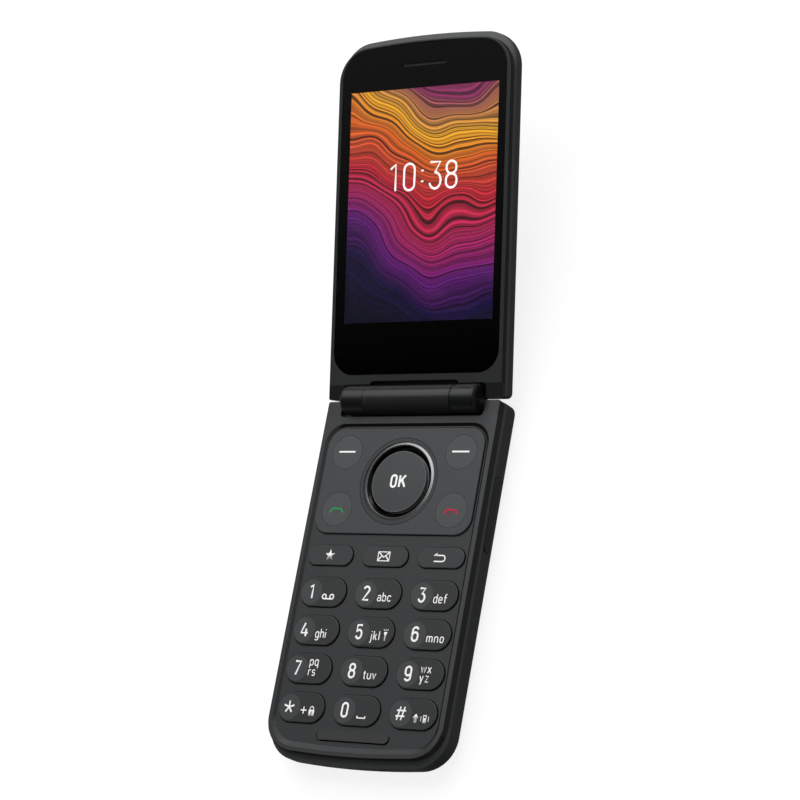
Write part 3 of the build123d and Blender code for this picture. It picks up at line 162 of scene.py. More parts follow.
def sheet(name, place):
    """A flat square from -1 to 1 each way, moved to its place."""
    shape = bmesh.new()
    bmesh.ops.create_grid(shape, x_segments=1, y_segments=1, size=1.0)
    bmesh.ops.transform(shape, matrix=place, verts=shape.verts)
    return mesh_from(name, shape)


softbox_data = bpy.data.lights.new("softbox", "AREA")
softbox_data.shape = "RECTANGLE"
softbox_data.size, softbox_data.size_y = SOFTBOX_SIZE
softbox_data.energy = SOFTBOX_POWER
softbox = show("softbox", softbox_data)
toward = SOFTBOX_TOWARD.normalized()
softbox.location = SUBJECT + SOFTBOX_DISTANCE * toward + SOFTBOX_ASIDE
softbox.rotation_euler = toward.to_track_quat("Z", "Y").to_euler()

dome = bpy.data.worlds.new("studio_dome")
bpy.context.scene.world = dome
dome.use_nodes = True
tree = dome.node_tree
tree.nodes.clear()
path = add(tree, "ShaderNodeLightPath").outputs
direction = split(tree, add(tree, "ShaderNodeTexCoord").outputs["Generated"])
ceiling = ramp_between(tree, direction["Y"], CEILING_SPAN, (0.0, CEILING_GLOSS))
horizon = ramp_between(tree, direction["Z"], HORIZON_SPAN, (HORIZON_GLOSS, 0.0))
seen = seen_in(tree, path, math_node(tree, "MAXIMUM", ceiling, horizon))
filled = math_node(tree, "MULTIPLY", path["Is Diffuse Ray"], DOME_LEVEL)
level = math_node(tree, "MAXIMUM", seen, filled)
sky = add(tree, "ShaderNodeBackground", {"Color": (1, 1, 1, 1), "Strength": level})
add(tree, "ShaderNodeOutputWorld", {"Surface": sky.outputs[0]})

paper = bpy.data.materials.new("white_sweep")
paper.use_nodes = True
tree = paper.node_tree
tree.nodes.clear()
seen = seen_in(tree, add(tree, "ShaderNodeLightPath").outputs, SWEEP_GLOSS)
shadow_catcher = add(tree, "ShaderNodeBsdfDiffuse", {"Color": SWEEP_SHADE}).outputs[0]
glow = add(tree, "ShaderNodeEmission", {"Color": (1, 1, 1, 1), "Strength": SWEEP_GLOW}).outputs[0]
bright = add(tree, "ShaderNodeAddShader", {0: shadow_catcher, 1: glow}).outputs[0]
dim = add(tree, "ShaderNodeBsdfDiffuse", {"Color": SWEEP_RETURN}).outputs[0]
faced = add(tree, "ShaderNodeMixShader", {0: seen, 1: dim, 2: bright}).outputs[0]
clear = add(tree, "ShaderNodeBsdfTransparent").outputs[0]
under = add(tree, "ShaderNodeNewGeometry").outputs["Backfacing"]
sides = add(tree, "ShaderNodeMixShader", {0: under, 1: faced, 2: clear}).outputs[0]
add(tree, "ShaderNodeOutputMaterial", {0: sides})

sweep_mesh = sheet("floor_sweep", Matrix.Scale(SWEEP_SIZE / 2, 4))
sweep_mesh.materials.append(paper)
sweep = show("floor_sweep", sweep_mesh)
sweep.location.z = cad_low.z


# The rear housing and the flat battery cover are injection moulded in near black polycarbonate, with
# the fine spark-eroded grain of the mould and a faint drift in tone where the plastic flowed. Screws
# hold the housing to the front, and the cover clips over the battery.
SHELL_COLOUR = (0.0330, 0.0350, 0.0360)
# The shoulder's colour is a painted highlight.
SHOULDER_HIGHLIGHT_COLOUR = (0.062, 0.066, 0.068)
SHOULDER_HIGHLIGHT_FACING = (0.15, 0.30)
# The end wall's colour is painted shade.
END_SHADE_COLOUR = (0.008, 0.0085, 0.009)
END_SHADE_FACING = (0.35, 0.75)
DRIFT_SCALE = 45.0
DRIFT_OF_ROUGHNESS = 0.25
GRAIN_RISE = 0.02


def surface_point(tree):
    """The place of a surface point in the frame, in metres."""
    return add(tree, "ShaderNodeTexCoord").outputs["Object"]


def noise(tree, vector, scale, detail=2.0):
    """Soft noise from 0 to 1."""
    values = {"Vector": vector, "Scale": scale, "Detail": detail}
    return add(tree, "ShaderNodeTexNoise", values).outputs["Fac"]


def relief(tree, height, strength, rise, **more):
    """The normal of a surface that a fine relief lifts by up to a rise."""
    values = {"Height": height, "Strength": strength, "Distance": rise * MM, **more}
    return add(tree, "ShaderNodeBump", values).outputs[0]


grain_group = bpy.data.node_groups.new("moulded_grain", "ShaderNodeTree")
COLOUR, NUMBER, VECTOR = "NodeSocketColor", "NodeSocketFloat", "NodeSocketVector"
for label, kind in (("Colour", COLOUR), ("Tone", NUMBER), ("Roughness", NUMBER), ("Size", NUMBER),
                    ("Depth", NUMBER)):
    grain_group.interface.new_socket(label, in_out="INPUT", socket_type=kind)
for label, kind in (("Colour", COLOUR), ("Roughness", NUMBER), ("Normal", VECTOR)):
    grain_group.interface.new_socket(label, in_out="OUTPUT", socket_type=kind)
given = grain_group.nodes.new("NodeGroupInput").outputs
place = surface_point(grain_group)
fine = noise(grain_group, place, math_node(grain_group, "DIVIDE", 1 / MM, given["Size"]), 3.0)
broad = noise(grain_group, place, DRIFT_SCALE)
mixed = math_node(grain_group, "ADD", math_node(grain_group, "MULTIPLY", fine, 0.5),
                  math_node(grain_group, "MULTIPLY", broad, 0.5))
spread = math_node(grain_group, "SUBTRACT", mixed, 0.5)
tone = math_node(grain_group, "MULTIPLY", given["Tone"], 2.0)
gain = math_node(grain_group, "MULTIPLY_ADD", spread, tone, 1.0)
tinted = add(grain_group, "ShaderNodeVectorMath", {0: given["Colour"], "Scale": gain}, operation="SCALE")
uneven = math_node(grain_group, "MULTIPLY_ADD", spread, DRIFT_OF_ROUGHNESS, given["Roughness"])
lifted = relief(grain_group, fine, given["Depth"], GRAIN_RISE)
add(grain_group, "NodeGroupOutput", {"Colour": tinted.outputs[0], "Roughness": uneven, "Normal": lifted})


def new_material(name, values):
    """A material with the values of its Principled shader, and its tree and shader."""
    material = bpy.data.materials.new(name)
    material.use_nodes = True
    shader = material.node_tree.nodes["Principled BSDF"]
    wire(material.node_tree, shader, values)
    return material, material.node_tree, shader


def moulded(name, colour, roughness=0.5, tone=0.12, size=0.12, depth=0.35, specular=0.25):
    """Moulded plastic. Its tone drifts by a share, and its grain has a size and a depth."""
    material, tree, shader = new_material(name, {"Specular IOR Level": specular})
    values = {"Tone": tone, "Roughness": roughness, "Size": size, "Depth": depth, "Colour": (*colour, 1.0)}
    grain = add(tree, "ShaderNodeGroup", values, node_tree=grain_group).outputs
    wire(tree, shader, {"Base Color": grain["Colour"], "Roughness": grain["Roughness"],
                        "Normal": grain["Normal"]})
    return material


def dress(material, *names):
    """Gives CAD pieces their finish."""
    for name in names:
        mesh = nodes[name].data
        mesh.materials.clear()
        mesh.materials.append(material)


def mix_colour(tree, mask, first, second):
    """The first colour where the mask is 0, and the second where it is 1."""
    pair = [c if isinstance(c, bpy.types.NodeSocket) else (*c, 1.0) for c in (first, second)]
    return add(tree, "ShaderNodeMix", {0: mask, 6: pair[0], 7: pair[1]}, data_type="RGBA").outputs[2]


def grain_of(material):
    """The node of a material that makes its mould grain."""
    return next(node for node in material.node_tree.nodes if node.type == "GROUP")


def mix_number(tree, mask, first, second):
    """The first number where the mask is 0, and the second where it is 1."""
    return math_node(tree, "MULTIPLY_ADD", mask, second - first, first)


def feed(material, socket, value):
    """Feeds a mask or colour into the mould grain of a material, in place of its plain value."""
    wire(material.node_tree, grain_of(material), {socket: value})


def facing(tree, direction, span):
    """A mask of the faces that turn towards a direction. The span is the cosines where it starts and ends."""
    normal = add(tree, "ShaderNodeTexCoord").outputs["Normal"]
    share = add(tree, "ShaderNodeVectorMath", {0: normal, 1: tuple(direction)}, operation="DOT_PRODUCT")
    return ramp_between(tree, share.outputs["Value"], span)


def front_of(lean):
    """The direction that a half's front faces, by how far the half leans up from flat."""
    return 0, -math.sin(lean), math.cos(lean)


def shell(name, lean):
    """The rear mouldings' plastic, with a painted highlight on the shoulder towards the front and painted
    shade on the end wall.
    """
    material = moulded(name, SHELL_COLOUR, roughness=0.48, specular=0.22)
    tree = material.node_tree
    # The shoulder that turns to the front is painted lighter, as a highlight.
    shoulder_highlight = facing(tree, front_of(lean), SHOULDER_HIGHLIGHT_FACING)
    # The wall that faces -Y is painted darker, as shade.
    end_shade = facing(tree, (0, -1, 0), END_SHADE_FACING)
    end_shaded_colour = mix_colour(tree, end_shade, SHELL_COLOUR, END_SHADE_COLOUR)
    feed(material, "Colour", mix_colour(tree, shoulder_highlight, end_shaded_colour, SHOULDER_HIGHLIGHT_COLOUR))
    return material


dress(shell("shell_plastic", 0.0), "rear_housing")
cover_plastic = moulded("cover_plastic", SHELL_COLOUR, roughness=0.55, size=0.20, depth=0.5, specular=0.22)
dress(cover_plastic, "battery_cover")


# The front housing is one moulding in dark grey, screwed to the rear one: the rim, the recessed key
# deck with its shaded wall, the raised lip and groove under the keys, and the middle of the hinge
# barrel, which is polished a little smoother and darker than the rest.
HOUSING_COLOUR = (0.0255, 0.0270, 0.0285)
HOUSING_ROUGHNESS = 0.46
# The sides' colour is painted shade; the volume rocker takes it too.
SIDE_SHADE_COLOUR = (0.0130, 0.0137, 0.0143)
SIDE_SHADE_FACING = (0.72, 0.55)
BARREL_COLOUR = (0.0085, 0.0092, 0.0095)
BARREL_ROUGHNESS = 0.30
BARREL_REACH = 4.4
# The rim's right edge is painted lighter, as a highlight.
RIM_HIGHLIGHT_COLOUR = (0.036, 0.0385, 0.040)
RIM_LEVEL = 0.12
RIM_HIGHLIGHT_SPAN = (24.0 * MM, 27.0 * MM)
RING_BELOW_FACE = 0.05
SHADE_COLOUR = (0.0012, 0.0012, 0.0013)
RECESS_HALF_WIDTH = 27.2
RECESS_LEVEL = 0.57
RECESS_FACING = (0.10, 0.25)
RECESS_ROUGHNESS = 1.0
# The lip's colour is painted shade.
LIP_SHADE_COLOUR = (0.0125, 0.0134, 0.0141)
LIP_FROM_HINGE = 94.2
LIP_REACH = 2.0
LIP_SHADE_FACING = (0.05, 0.12)
GROOVE_LEVEL = 0.64
STEEP_FACING = (0.85, 0.70)
UP = (0, 0, 1)
NEAR_LEFT = (-0.71, -0.71, 0)
hinge_joint = next(joint for joint in frame["joints"] if joint["name"] == "lid_hinge")
hinge_at = Vector(hinge_joint["pos_m"])
face_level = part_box("nav_ring")[1].z + RING_BELOW_FACE * MM


def radius_from(tree, centre, across):
    """The distance of a surface point from an axis, by the two directions across it."""
    values = {0: surface_point(tree), 1: tuple(centre)}
    offset = add(tree, "ShaderNodeVectorMath", values, operation="SUBTRACT").outputs[0]
    flat = add(tree, "ShaderNodeVectorMath", {0: offset, 1: across}, operation="MULTIPLY").outputs[0]
    return add(tree, "ShaderNodeVectorMath", {0: flat}, operation="LENGTH").outputs["Value"]


def barrel_mask(tree):
    """A mask of the surfaces that lie round the hinge axis."""
    return math_node(tree, "LESS_THAN", radius_from(tree, hinge_at, (0, 1, 1)), BARREL_REACH * MM)


def both(tree, first, second):
    """A mask where two masks meet."""
    return math_node(tree, "MULTIPLY", first, second)


housing_plastic = moulded("housing_plastic", HOUSING_COLOUR, roughness=HOUSING_ROUGHNESS)
tree = housing_plastic.node_tree
place = split(tree, surface_point(tree))
depth = math_node(tree, "SUBTRACT", face_level, place["Z"])

# The rim has a painted highlight at its right, and the moulding's sides are painted darker than its top, as
# shade.
on_rim = math_node(tree, "LESS_THAN", depth, RIM_LEVEL * MM)
right_rim_highlight = both(tree, on_rim, ramp_between(tree, place["X"], RIM_HIGHLIGHT_SPAN))
top_with_highlight = mix_colour(tree, right_rim_highlight, HOUSING_COLOUR, RIM_HIGHLIGHT_COLOUR)
side_shaded_colour = mix_colour(tree, facing(tree, UP, SIDE_SHADE_FACING), top_with_highlight, SIDE_SHADE_COLOUR)

# The recess wall that turns towards the keys, away from the light, is in shade.
above_deck = math_node(tree, "LESS_THAN", depth, RECESS_LEVEL * MM)
from_middle = math_node(tree, "ABSOLUTE", place["X"])
within = math_node(tree, "LESS_THAN", from_middle, RECESS_HALF_WIDTH * MM)
shaded = facing(tree, NEAR_LEFT, RECESS_FACING)
in_recess = both(tree, both(tree, above_deck, within), shaded)
recess_colour = mix_colour(tree, in_recess, side_shaded_colour, SHADE_COLOUR)

# The lip's far slope is painted darker than the deck, as shade, and its steep ends and the groove are painted
# in deeper shade.
from_lip = math_node(tree, "SUBTRACT", place["Y"], hinge_at.y - LIP_FROM_HINGE * MM)
by_lip = math_node(tree, "LESS_THAN", math_node(tree, "ABSOLUTE", from_lip), LIP_REACH * MM)
below_deck = math_node(tree, "GREATER_THAN", depth, GROOVE_LEVEL * MM)
groove = math_node(tree, "MAXIMUM", below_deck, facing(tree, UP, STEEP_FACING))
lip_shade = both(tree, by_lip, facing(tree, (0, 1, 0), LIP_SHADE_FACING))
lip_shaded_colour = mix_colour(tree, lip_shade, recess_colour, LIP_SHADE_COLOUR)
front_colour = mix_colour(tree, both(tree, by_lip, groove), lip_shaded_colour, SHADE_COLOUR)

on_barrel = barrel_mask(tree)
feed(housing_plastic, "Colour", mix_colour(tree, on_barrel, front_colour, BARREL_COLOUR))
smooth = mix_number(tree, on_barrel, HOUSING_ROUGHNESS, BARREL_ROUGHNESS)
dulled = math_node(tree, "MULTIPLY_ADD", in_recess, RECESS_ROUGHNESS - HOUSING_ROUGHNESS, smooth)
feed(housing_plastic, "Roughness", dulled)
dress(housing_plastic, "front_housing")


# The navigation panel is a satin plate glued into the deck. Its four round keys are moulded in a
# lighter, half translucent grey, and print marks them.
PANEL_COLOUR = (0.040, 0.043, 0.0455)
SOFT_KEY_COLOUR = (0.054, 0.0575, 0.060)
SATIN = {"size": 0.09, "depth": 0.2}

dress(moulded("panel_plastic", PANEL_COLOUR, roughness=0.44, **SATIN), "nav_panel")
soft_key_plastic = moulded("soft_key_plastic", SOFT_KEY_COLOUR, roughness=0.46, **SATIN)
dress(soft_key_plastic, "soft_key_left", "soft_key_right", "call_key", "end_key")


# The navigation ring has a satin lip, a seat for the bright trim and a gloss black slope that falls
# to the OK key. The trim is turned aluminium with the fine circles of the tool left in it.
RING_LIP_COLOUR = (0.026, 0.028, 0.030)
RING_LIP_ROUGHNESS = 0.42
RING_SLOPE_COLOUR = (0.0015, 0.0015, 0.0017)
RING_SLOPE_ROUGHNESS = 0.18
RING_SLOPE_RADIUS = 10.8
TRIM_COLOUR = (0.25, 0.255, 0.26)
TRIM_ROUGHNESS = 0.38
LATHE_SCALE = 14000.0
LATHE_RISE = 0.01
nav_low, nav_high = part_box("nav_ring")
nav_at = (nav_low + nav_high) / 2

ring_plastic = moulded("ring_plastic", RING_LIP_COLOUR, roughness=RING_LIP_ROUGHNESS, **SATIN)
tree = ring_plastic.node_tree
on_slope = math_node(tree, "LESS_THAN", radius_from(tree, nav_at, (1, 1, 0)), RING_SLOPE_RADIUS * MM)
feed(ring_plastic, "Colour", mix_colour(tree, on_slope, RING_LIP_COLOUR, RING_SLOPE_COLOUR))
feed(ring_plastic, "Roughness", mix_number(tree, on_slope, RING_LIP_ROUGHNESS, RING_SLOPE_ROUGHNESS))
dress(ring_plastic, "nav_ring")


def streaked(tree, streaks, colour, dark):
    """A colour between fine streaks of its darker share."""
    return mix_colour(tree, streaks, tuple(dark * c for c in colour), colour)


trim_metal, tree, shader = new_material("trim_metal", {"Metallic": 1.0})
values = {"W": radius_from(tree, nav_at, (1, 1, 0)), "Scale": LATHE_SCALE, "Detail": 2.0}
lathe = add(tree, "ShaderNodeTexNoise", values, noise_dimensions="1D").outputs["Fac"]
wire(tree, shader, {"Base Color": streaked(tree, lathe, TRIM_COLOUR, 0.85),
                    "Roughness": math_node(tree, "MULTIPLY_ADD", lathe, 0.15, TRIM_ROUGHNESS),
                    "Normal": relief(tree, lathe, 0.25, LATHE_RISE)})
dress(trim_metal, "nav_trim")


# The OK key is a satin disc with a bright chamfer round its edge. It is a hard cap on a stem, which
# goes down through the plate that carries the ring.
OK_COLOUR = (0.041, 0.044, 0.0465)
OK_EDGE_COLOUR = (0.13, 0.135, 0.14)
OK_EDGE_RADIUS = 8.52

ok_plastic = moulded("ok_plastic", OK_COLOUR, roughness=0.46, **SATIN)
tree = ok_plastic.node_tree
on_edge = math_node(tree, "GREATER_THAN", radius_from(tree, nav_at, (1, 1, 0)), OK_EDGE_RADIUS * MM)
feed(ok_plastic, "Colour", mix_colour(tree, on_edge, OK_COLOUR, OK_EDGE_COLOUR))
dress(ok_plastic, "ok_key")


# The number keys are hard caps over the silicone sheet. Each has a smooth disc behind its digit, painted
# lighter as a sheen, and fine upright ribs across the rest, painted in darker stripes as shade. The
# function keys above them are plain, and the side walls of all the keys are painted with the shade of their
# gaps.
NUMBER_KEY_COLOUR = (0.0290, 0.0310, 0.0325)
# The disc's colour is a painted sheen.
DISC_SHEEN_COLOUR = (0.0420, 0.0445, 0.0465)
NUMBER_KEY_ROUGHNESS = 0.45
GAP_SHADE_FACING = (0.60, 0.35)
DISC_OFFSET = -3.85
DISC_EDGE = (3.45 * MM, 3.55 * MM)
RIB_PITCH = 0.46
RIB_RISE = 0.03
# The ribs' darker share is painted shade.
RIB_SHADE_SHARE = 0.50
NUMBER_KEYS = ["key_1", "key_2", "key_3", "key_4", "key_5", "key_6", "key_7", "key_8", "key_9",
               "key_star", "key_0", "key_hash"]


def centre_of(name):
    """The middle of a CAD piece's box."""
    low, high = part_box(name)
    return (low + high) / 2


def gap_shaded(tree, top):
    """A top colour, with the side walls of a key painted in the shade of its gap."""
    return mix_colour(tree, facing(tree, UP, GAP_SHADE_FACING), top, SHADE_COLOUR)


first_key = centre_of("key_1")
column_pitch = centre_of("key_2").x - first_key.x
row_pitch = first_key.y - centre_of("key_4").y

number_plastic = moulded("number_plastic", NUMBER_KEY_COLOUR, roughness=NUMBER_KEY_ROUGHNESS, **SATIN)
tree = number_plastic.node_tree
place = split(tree, surface_point(tree))
from_first = [math_node(tree, "SUBTRACT", place["X"], first_key.x),
              math_node(tree, "SUBTRACT", place["Y"], first_key.y)]
across = math_node(tree, "WRAP", from_first[0], column_pitch / 2, -column_pitch / 2)
along = math_node(tree, "WRAP", from_first[1], row_pitch / 2, -row_pitch / 2)
aside = math_node(tree, "SUBTRACT", across, DISC_OFFSET * MM)
squares = [math_node(tree, "MULTIPLY", side, side) for side in (aside, along)]
reach = math_node(tree, "SQRT", math_node(tree, "ADD", *squares))
off_disc = ramp_between(tree, reach, DISC_EDGE)
wave = math_node(tree, "SINE", math_node(tree, "MULTIPLY", across, 2 * math.pi / (RIB_PITCH * MM)))
ribs = math_node(tree, "MULTIPLY", math_node(tree, "MULTIPLY_ADD", wave, 0.5, 0.5), off_disc)
# Painted shade darkens the ribs in stripes.
rib_shaded = mix_colour(tree, ribs, NUMBER_KEY_COLOUR, tuple(RIB_SHADE_SHARE * c for c in NUMBER_KEY_COLOUR))
feed(number_plastic, "Colour", gap_shaded(tree, mix_colour(tree, off_disc, DISC_SHEEN_COLOUR, rib_shaded)))
ribbed_normal = relief(tree, ribs, 0.5, RIB_RISE, Normal=grain_of(number_plastic).outputs["Normal"])
wire(tree, tree.nodes["Principled BSDF"], {"Normal": ribbed_normal})
dress(number_plastic, *NUMBER_KEYS)

function_plastic = moulded("function_plastic", NUMBER_KEY_COLOUR, roughness=NUMBER_KEY_ROUGHNESS, **SATIN)
feed(function_plastic, "Colour", gap_shaded(function_plastic.node_tree, NUMBER_KEY_COLOUR))
dress(function_plastic, "favourite_key", "message_key", "back_key")


# The digits, letters and signs are printed on the keys in one thin coat of white, green or red ink.
# Each mark is drawn with a round pen on its key's face, and its strokes are flattened to the coat.
INK_COAT = 0.03
DIGIT_PEN = 0.61
LETTER_PEN = 0.31
WHITE_INK = (0.97, 0.97, 0.97)
GREEN_INK = (0.012, 0.30, 0.075)
RED_INK = (0.55, 0.006, 0.045)
FAINT_RED_INK = (0.19, 0.022, 0.04)
SPECKLE_SCALE = 9000.0


def ink(name, colour):
    """A coat of ink, slightly uneven as pad printing leaves it."""
    material, tree, shader = new_material(name, {"Roughness": 0.55, "Specular IOR Level": 0.2})
    speckle = noise(tree, surface_point(tree), SPECKLE_SCALE)
    wire(tree, shader, {"Base Color": streaked(tree, speckle, colour, 0.93)})
    return material


def bow(x, y, across, up, start, stop):
    """Points on an oval arc between two angles in degrees, about 15 degrees apart."""
    count = max(3, round(abs(stop - start) / 15))
    angles = [math.radians(start + (stop - start) * i / count) for i in range(count + 1)]
    return [(x + across * math.cos(a), y + up * math.sin(a)) for a in angles]


def oval(x, low, high, half):
    """A closed upright loop with round ends."""
    return bow(x, high - half, half, half, 0, 180) + bow(x, low + half, half, half, 180, 360)[:-1], True


def pen(lines, width, shift=(0, 0), scale=1.0):
    """Strokes of one pen as a flat mesh about z = 0, in millimetres.

    A line is a list of points, or that and whether it is closed.
    """
    curve = bpy.data.curves.new("pen", "CURVE")
    curve.dimensions = "3D"
    curve.bevel_depth = width / 2
    curve.bevel_resolution = 2
    curve.use_fill_caps = True
    for line in lines:
        points, closed = line if isinstance(line, tuple) else (line, False)
        spline = curve.splines.new("POLY")
        spline.points.add(len(points) - 1)
        spline.use_cyclic_u = closed
        for target, (x, y) in zip(spline.points, points):
            target.co = (shift[0] + scale * x, shift[1] + scale * y, 0, 1)
    holder = bpy.data.objects.new("pen", curve)
    mesh = bpy.data.meshes.new_from_object(holder)
    mesh.transform(Matrix.Diagonal((1, 1, INK_COAT / width, 1)))
    bpy.data.objects.remove(holder)
    bpy.data.curves.remove(curve)
    return mesh


def patch(points):
    """A filled outline as thick as the ink."""
    shape = bmesh.new()
    face = shape.faces.new([shape.verts.new((x, y, 0)) for x, y in points])
    raised = bmesh.ops.extrude_face_region(shape, geom=[face])["geom"]
    top = [item for item in raised if isinstance(item, bmesh.types.BMVert)]
    bmesh.ops.translate(shape, verts=top, vec=(0, 0, INK_COAT / 2))
    bmesh.ops.recalc_face_normals(shape, faces=shape.faces)
    return mesh_from("patch", shape)


def put(name, meshes, place, material, body):
    """Joins flat meshes in millimetres, places them in the frame and lets them ride on a body."""
    shape = bmesh.new()
    for mesh in meshes:
        shape.from_mesh(mesh)
        bpy.data.meshes.remove(mesh)
    bmesh.ops.transform(shape, matrix=place @ Matrix.Scale(MM, 4), verts=shape.verts)
    for face in shape.faces:
        face.smooth = True
    piece = show(name, mesh_from(name, shape))
    piece.data.materials.append(material)
    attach(piece, body)


def on_top(name):
    """The place of a mark in the middle of a key's top face."""
    low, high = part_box(name)
    return Matrix.Translation(((low.x + high.x) / 2, (low.y + high.y) / 2, high.z))


# Digits stand on y = 0 about x = 0, and letters start at x = 0.
TALL = 3.70
HALF = 0.87
DIGITS = {
    "0": [oval(0, 0, TALL, HALF)],
    "1": [[(-0.62, TALL - 0.62), (0.22, TALL), (0.22, 0)]],
    "2": [bow(0, TALL - HALF, HALF, HALF, 165, -28) + [(-HALF, 0), (HALF + 0.1, 0)]],
    "3": [[(-HALF, TALL), (HALF - 0.1, TALL), (-0.10, 2.25)] + bow(-0.05, 1.12, HALF + 0.05, 1.12, 82, -165)],
    "4": [[(0.0, TALL), (-1.05, 0.92), (1.15, 0.92)], [(0.52, 2.1), (0.52, 0)]],
    "5": [[(0.80, TALL), (-0.72, TALL), (-0.80, 1.95)] + bow(0, 1.20, HALF, 1.20, 132, -158)],
    "6": [[(-HALF, 1.2), (-HALF, TALL - HALF)] + bow(0, TALL - HALF, HALF, HALF, 180, 22),
          oval(0, 0, 2.35, HALF)],
    "7": [[(-HALF, TALL), (HALF, TALL), (-0.30, 0)]],
    "8": [oval(0, 1.95, TALL, 0.80), oval(0, 0, 1.95, HALF)],
    "9": [[(HALF, 2.5), (HALF, HALF)] + bow(0, HALF, HALF, HALF, 0, -158), oval(0, 1.35, TALL, HALF)],
}

# Each letter has its width and its lines. A small letter's body is LOW, its stem goes up to HIGH and
# its tail down to DEEP.
LOW = 1.55
HIGH = 2.40
DEEP = -0.75
ROUND = oval(0.5, 0, LOW, 0.5)
LETTERS = {
    "a": (1.0, [bow(0.5, LOW - 0.45, 0.5, 0.45, 155, 0) + [(1.0, 0)],
                [(1.0, 0.90)] + bow(0.42, 0.45, 0.42, 0.45, 90, 270) + [(1.0, 0.12)]]),
    "b": (1.0, [[(0, HIGH), (0, 0)], ROUND]),
    "c": (0.95, [bow(0.5, LOW - 0.5, 0.5, 0.5, 20, 180) + bow(0.5, 0.5, 0.5, 0.5, 180, 340)]),
    "d": (1.0, [[(1, HIGH), (1, 0)], ROUND]),
    "e": (1.0, [[(0, 0.80), (1, 0.80)] + bow(0.5, LOW - 0.5, 0.5, 0.5, 0, 180)
                + bow(0.5, 0.5, 0.5, 0.5, 180, 330)]),
    "f": (0.75, [bow(0.72, HIGH - 0.42, 0.42, 0.42, 85, 180) + [(0.30, 0)], [(0, LOW), (0.75, LOW)]]),
    "g": (1.0, [ROUND, [(1, LOW)] + bow(0.5, -0.30, 0.5, 0.45, 0, -155)]),
    "h": (1.0, [[(0, HIGH), (0, 0)], bow(0.5, LOW - 0.5, 0.5, 0.5, 180, 0) + [(1, 0)]]),
    "i": (0.0, [[(0, LOW), (0, 0)], [(0, LOW + 0.55), (0, LOW + 0.80)]]),
    "j": (0.30, [[(0.30, LOW)] + bow(-0.10, -0.35, 0.40, 0.40, 0, -90),
                 [(0.30, LOW + 0.55), (0.30, LOW + 0.80)]]),
    "k": (0.95, [[(0, HIGH), (0, 0)], [(0.85, LOW), (0.05, 0.62)], [(0.35, 0.88), (0.95, 0)]]),
    "l": (0.0, [[(0, HIGH), (0, 0)]]),
    "m": (1.7, [[(0, LOW), (0, 0)], bow(0.425, LOW - 0.425, 0.425, 0.425, 180, 0) + [(0.85, 0)],
                bow(1.275, LOW - 0.425, 0.425, 0.425, 180, 0) + [(1.7, 0)]]),
    "n": (1.0, [[(0, LOW), (0, 0)], bow(0.5, LOW - 0.5, 0.5, 0.5, 180, 0) + [(1, 0)]]),
    "o": (1.0, [ROUND]),
    "p": (1.0, [[(0, LOW), (0, DEEP)], ROUND]),
    "q": (1.0, [[(1, LOW), (1, DEEP)], ROUND]),
    "r": (0.60, [[(0, LOW), (0, 0)], bow(0.55, LOW - 0.55, 0.55, 0.55, 180, 80)]),
    "s": (0.85, [bow(0.45, LOW - 0.40, 0.43, 0.40, 30, 255) + bow(0.42, 0.40, 0.43, 0.42, 75, -150)]),
    "t": (0.70, [[(0.30, HIGH - 0.25)] + bow(0.66, 0.36, 0.36, 0.36, 180, 275), [(0, LOW), (0.70, LOW)]]),
    "u": (1.0, [[(0, LOW)] + bow(0.5, 0.5, 0.5, 0.5, 180, 360), [(1, LOW), (1, 0)]]),
    "v": (1.0, [[(0, LOW), (0.5, 0), (1.0, LOW)]]),
    "w": (1.5, [[(0, LOW), (0.38, 0), (0.75, LOW), (1.12, 0), (1.5, LOW)]]),
    "x": (0.95, [[(0, LOW), (0.95, 0)], [(0, 0), (0.95, LOW)]]),
    "y": (1.0, [[(0, LOW), (0.52, 0)], [(1.0, LOW), (0.28, DEEP)]]),
    "z": (0.9, [[(0, LOW), (0.9, LOW), (0, 0), (0.95, 0)]]),
}


LETTER_SPACE = 0.62
WIDE_SPACE = 0.75


def word(text, x, y, space=LETTER_SPACE):
    """A row of letters from its left end on its base line."""
    meshes = []
    for letter in text:
        width, lines = LETTERS[letter]
        meshes.append(pen(lines, LETTER_PEN, (x, y)))
        x += width + space
    return meshes


DIGIT_AT = (-3.70, -1.85)
WORD_X = 0.20
WORD_Y = -2.02
voicemail = [oval(0.62, 0, 1.25, 0.62), oval(3.10, 0, 1.25, 0.62), [(0.62, 0), (3.10, 0)]]
torch = [(4.35, -0.20), (4.35, 0.25), (5.35, 0.25), (5.35, -0.20), (5.08, -0.65), (5.08, -2.2),
         (4.62, -2.2), (4.62, -0.65)]
torch_rays = [[(4.15, 0.95), (4.40, 0.62)], [(4.85, 1.05), (4.85, 0.62)], [(5.55, 0.95), (5.30, 0.62)]]
star_arms = [math.radians(90 + 72 * i) for i in range(5)]
small_star = [[(0, 0), (1.7 * math.cos(a), 1.7 * math.sin(a))] for a in star_arms]
plus = [[(0, 0.95), (1.9, 0.95)], [(0.95, 0), (0.95, 1.9)]]
lock_bow = [[(0.38, 1.6)] + bow(0.95, 1.9, 0.57, 0.6, 180, 0) + [(1.52, 1.6)]]
lock = [(2.70, -0.55), (2.70, -2.2), (3.50, -2.2), (3.50, -1.60), (3.42, -1.40), (3.60, -1.20),
        (3.78, -1.40), (3.70, -1.60), (3.70, -2.2), (4.50, -2.2), (4.50, -0.55)]
space_sign = [[(0, 0.55), (0, 0), (2.5, 0), (2.5, 0.55)]]
hash_sign = [[(-1.05, -1.8), (-0.25, 1.8)], [(0.25, -1.8), (1.05, 1.8)], [(-1.35, 0.75), (1.5, 0.75)],
             [(-1.55, -0.75), (1.3, -0.75)]]
up_arrow = [(1.10, 0.15), (0.10, -1.00), (0.66, -1.00), (0.66, -2.2), (1.54, -2.2), (1.54, -1.00),
            (2.10, -1.00)]
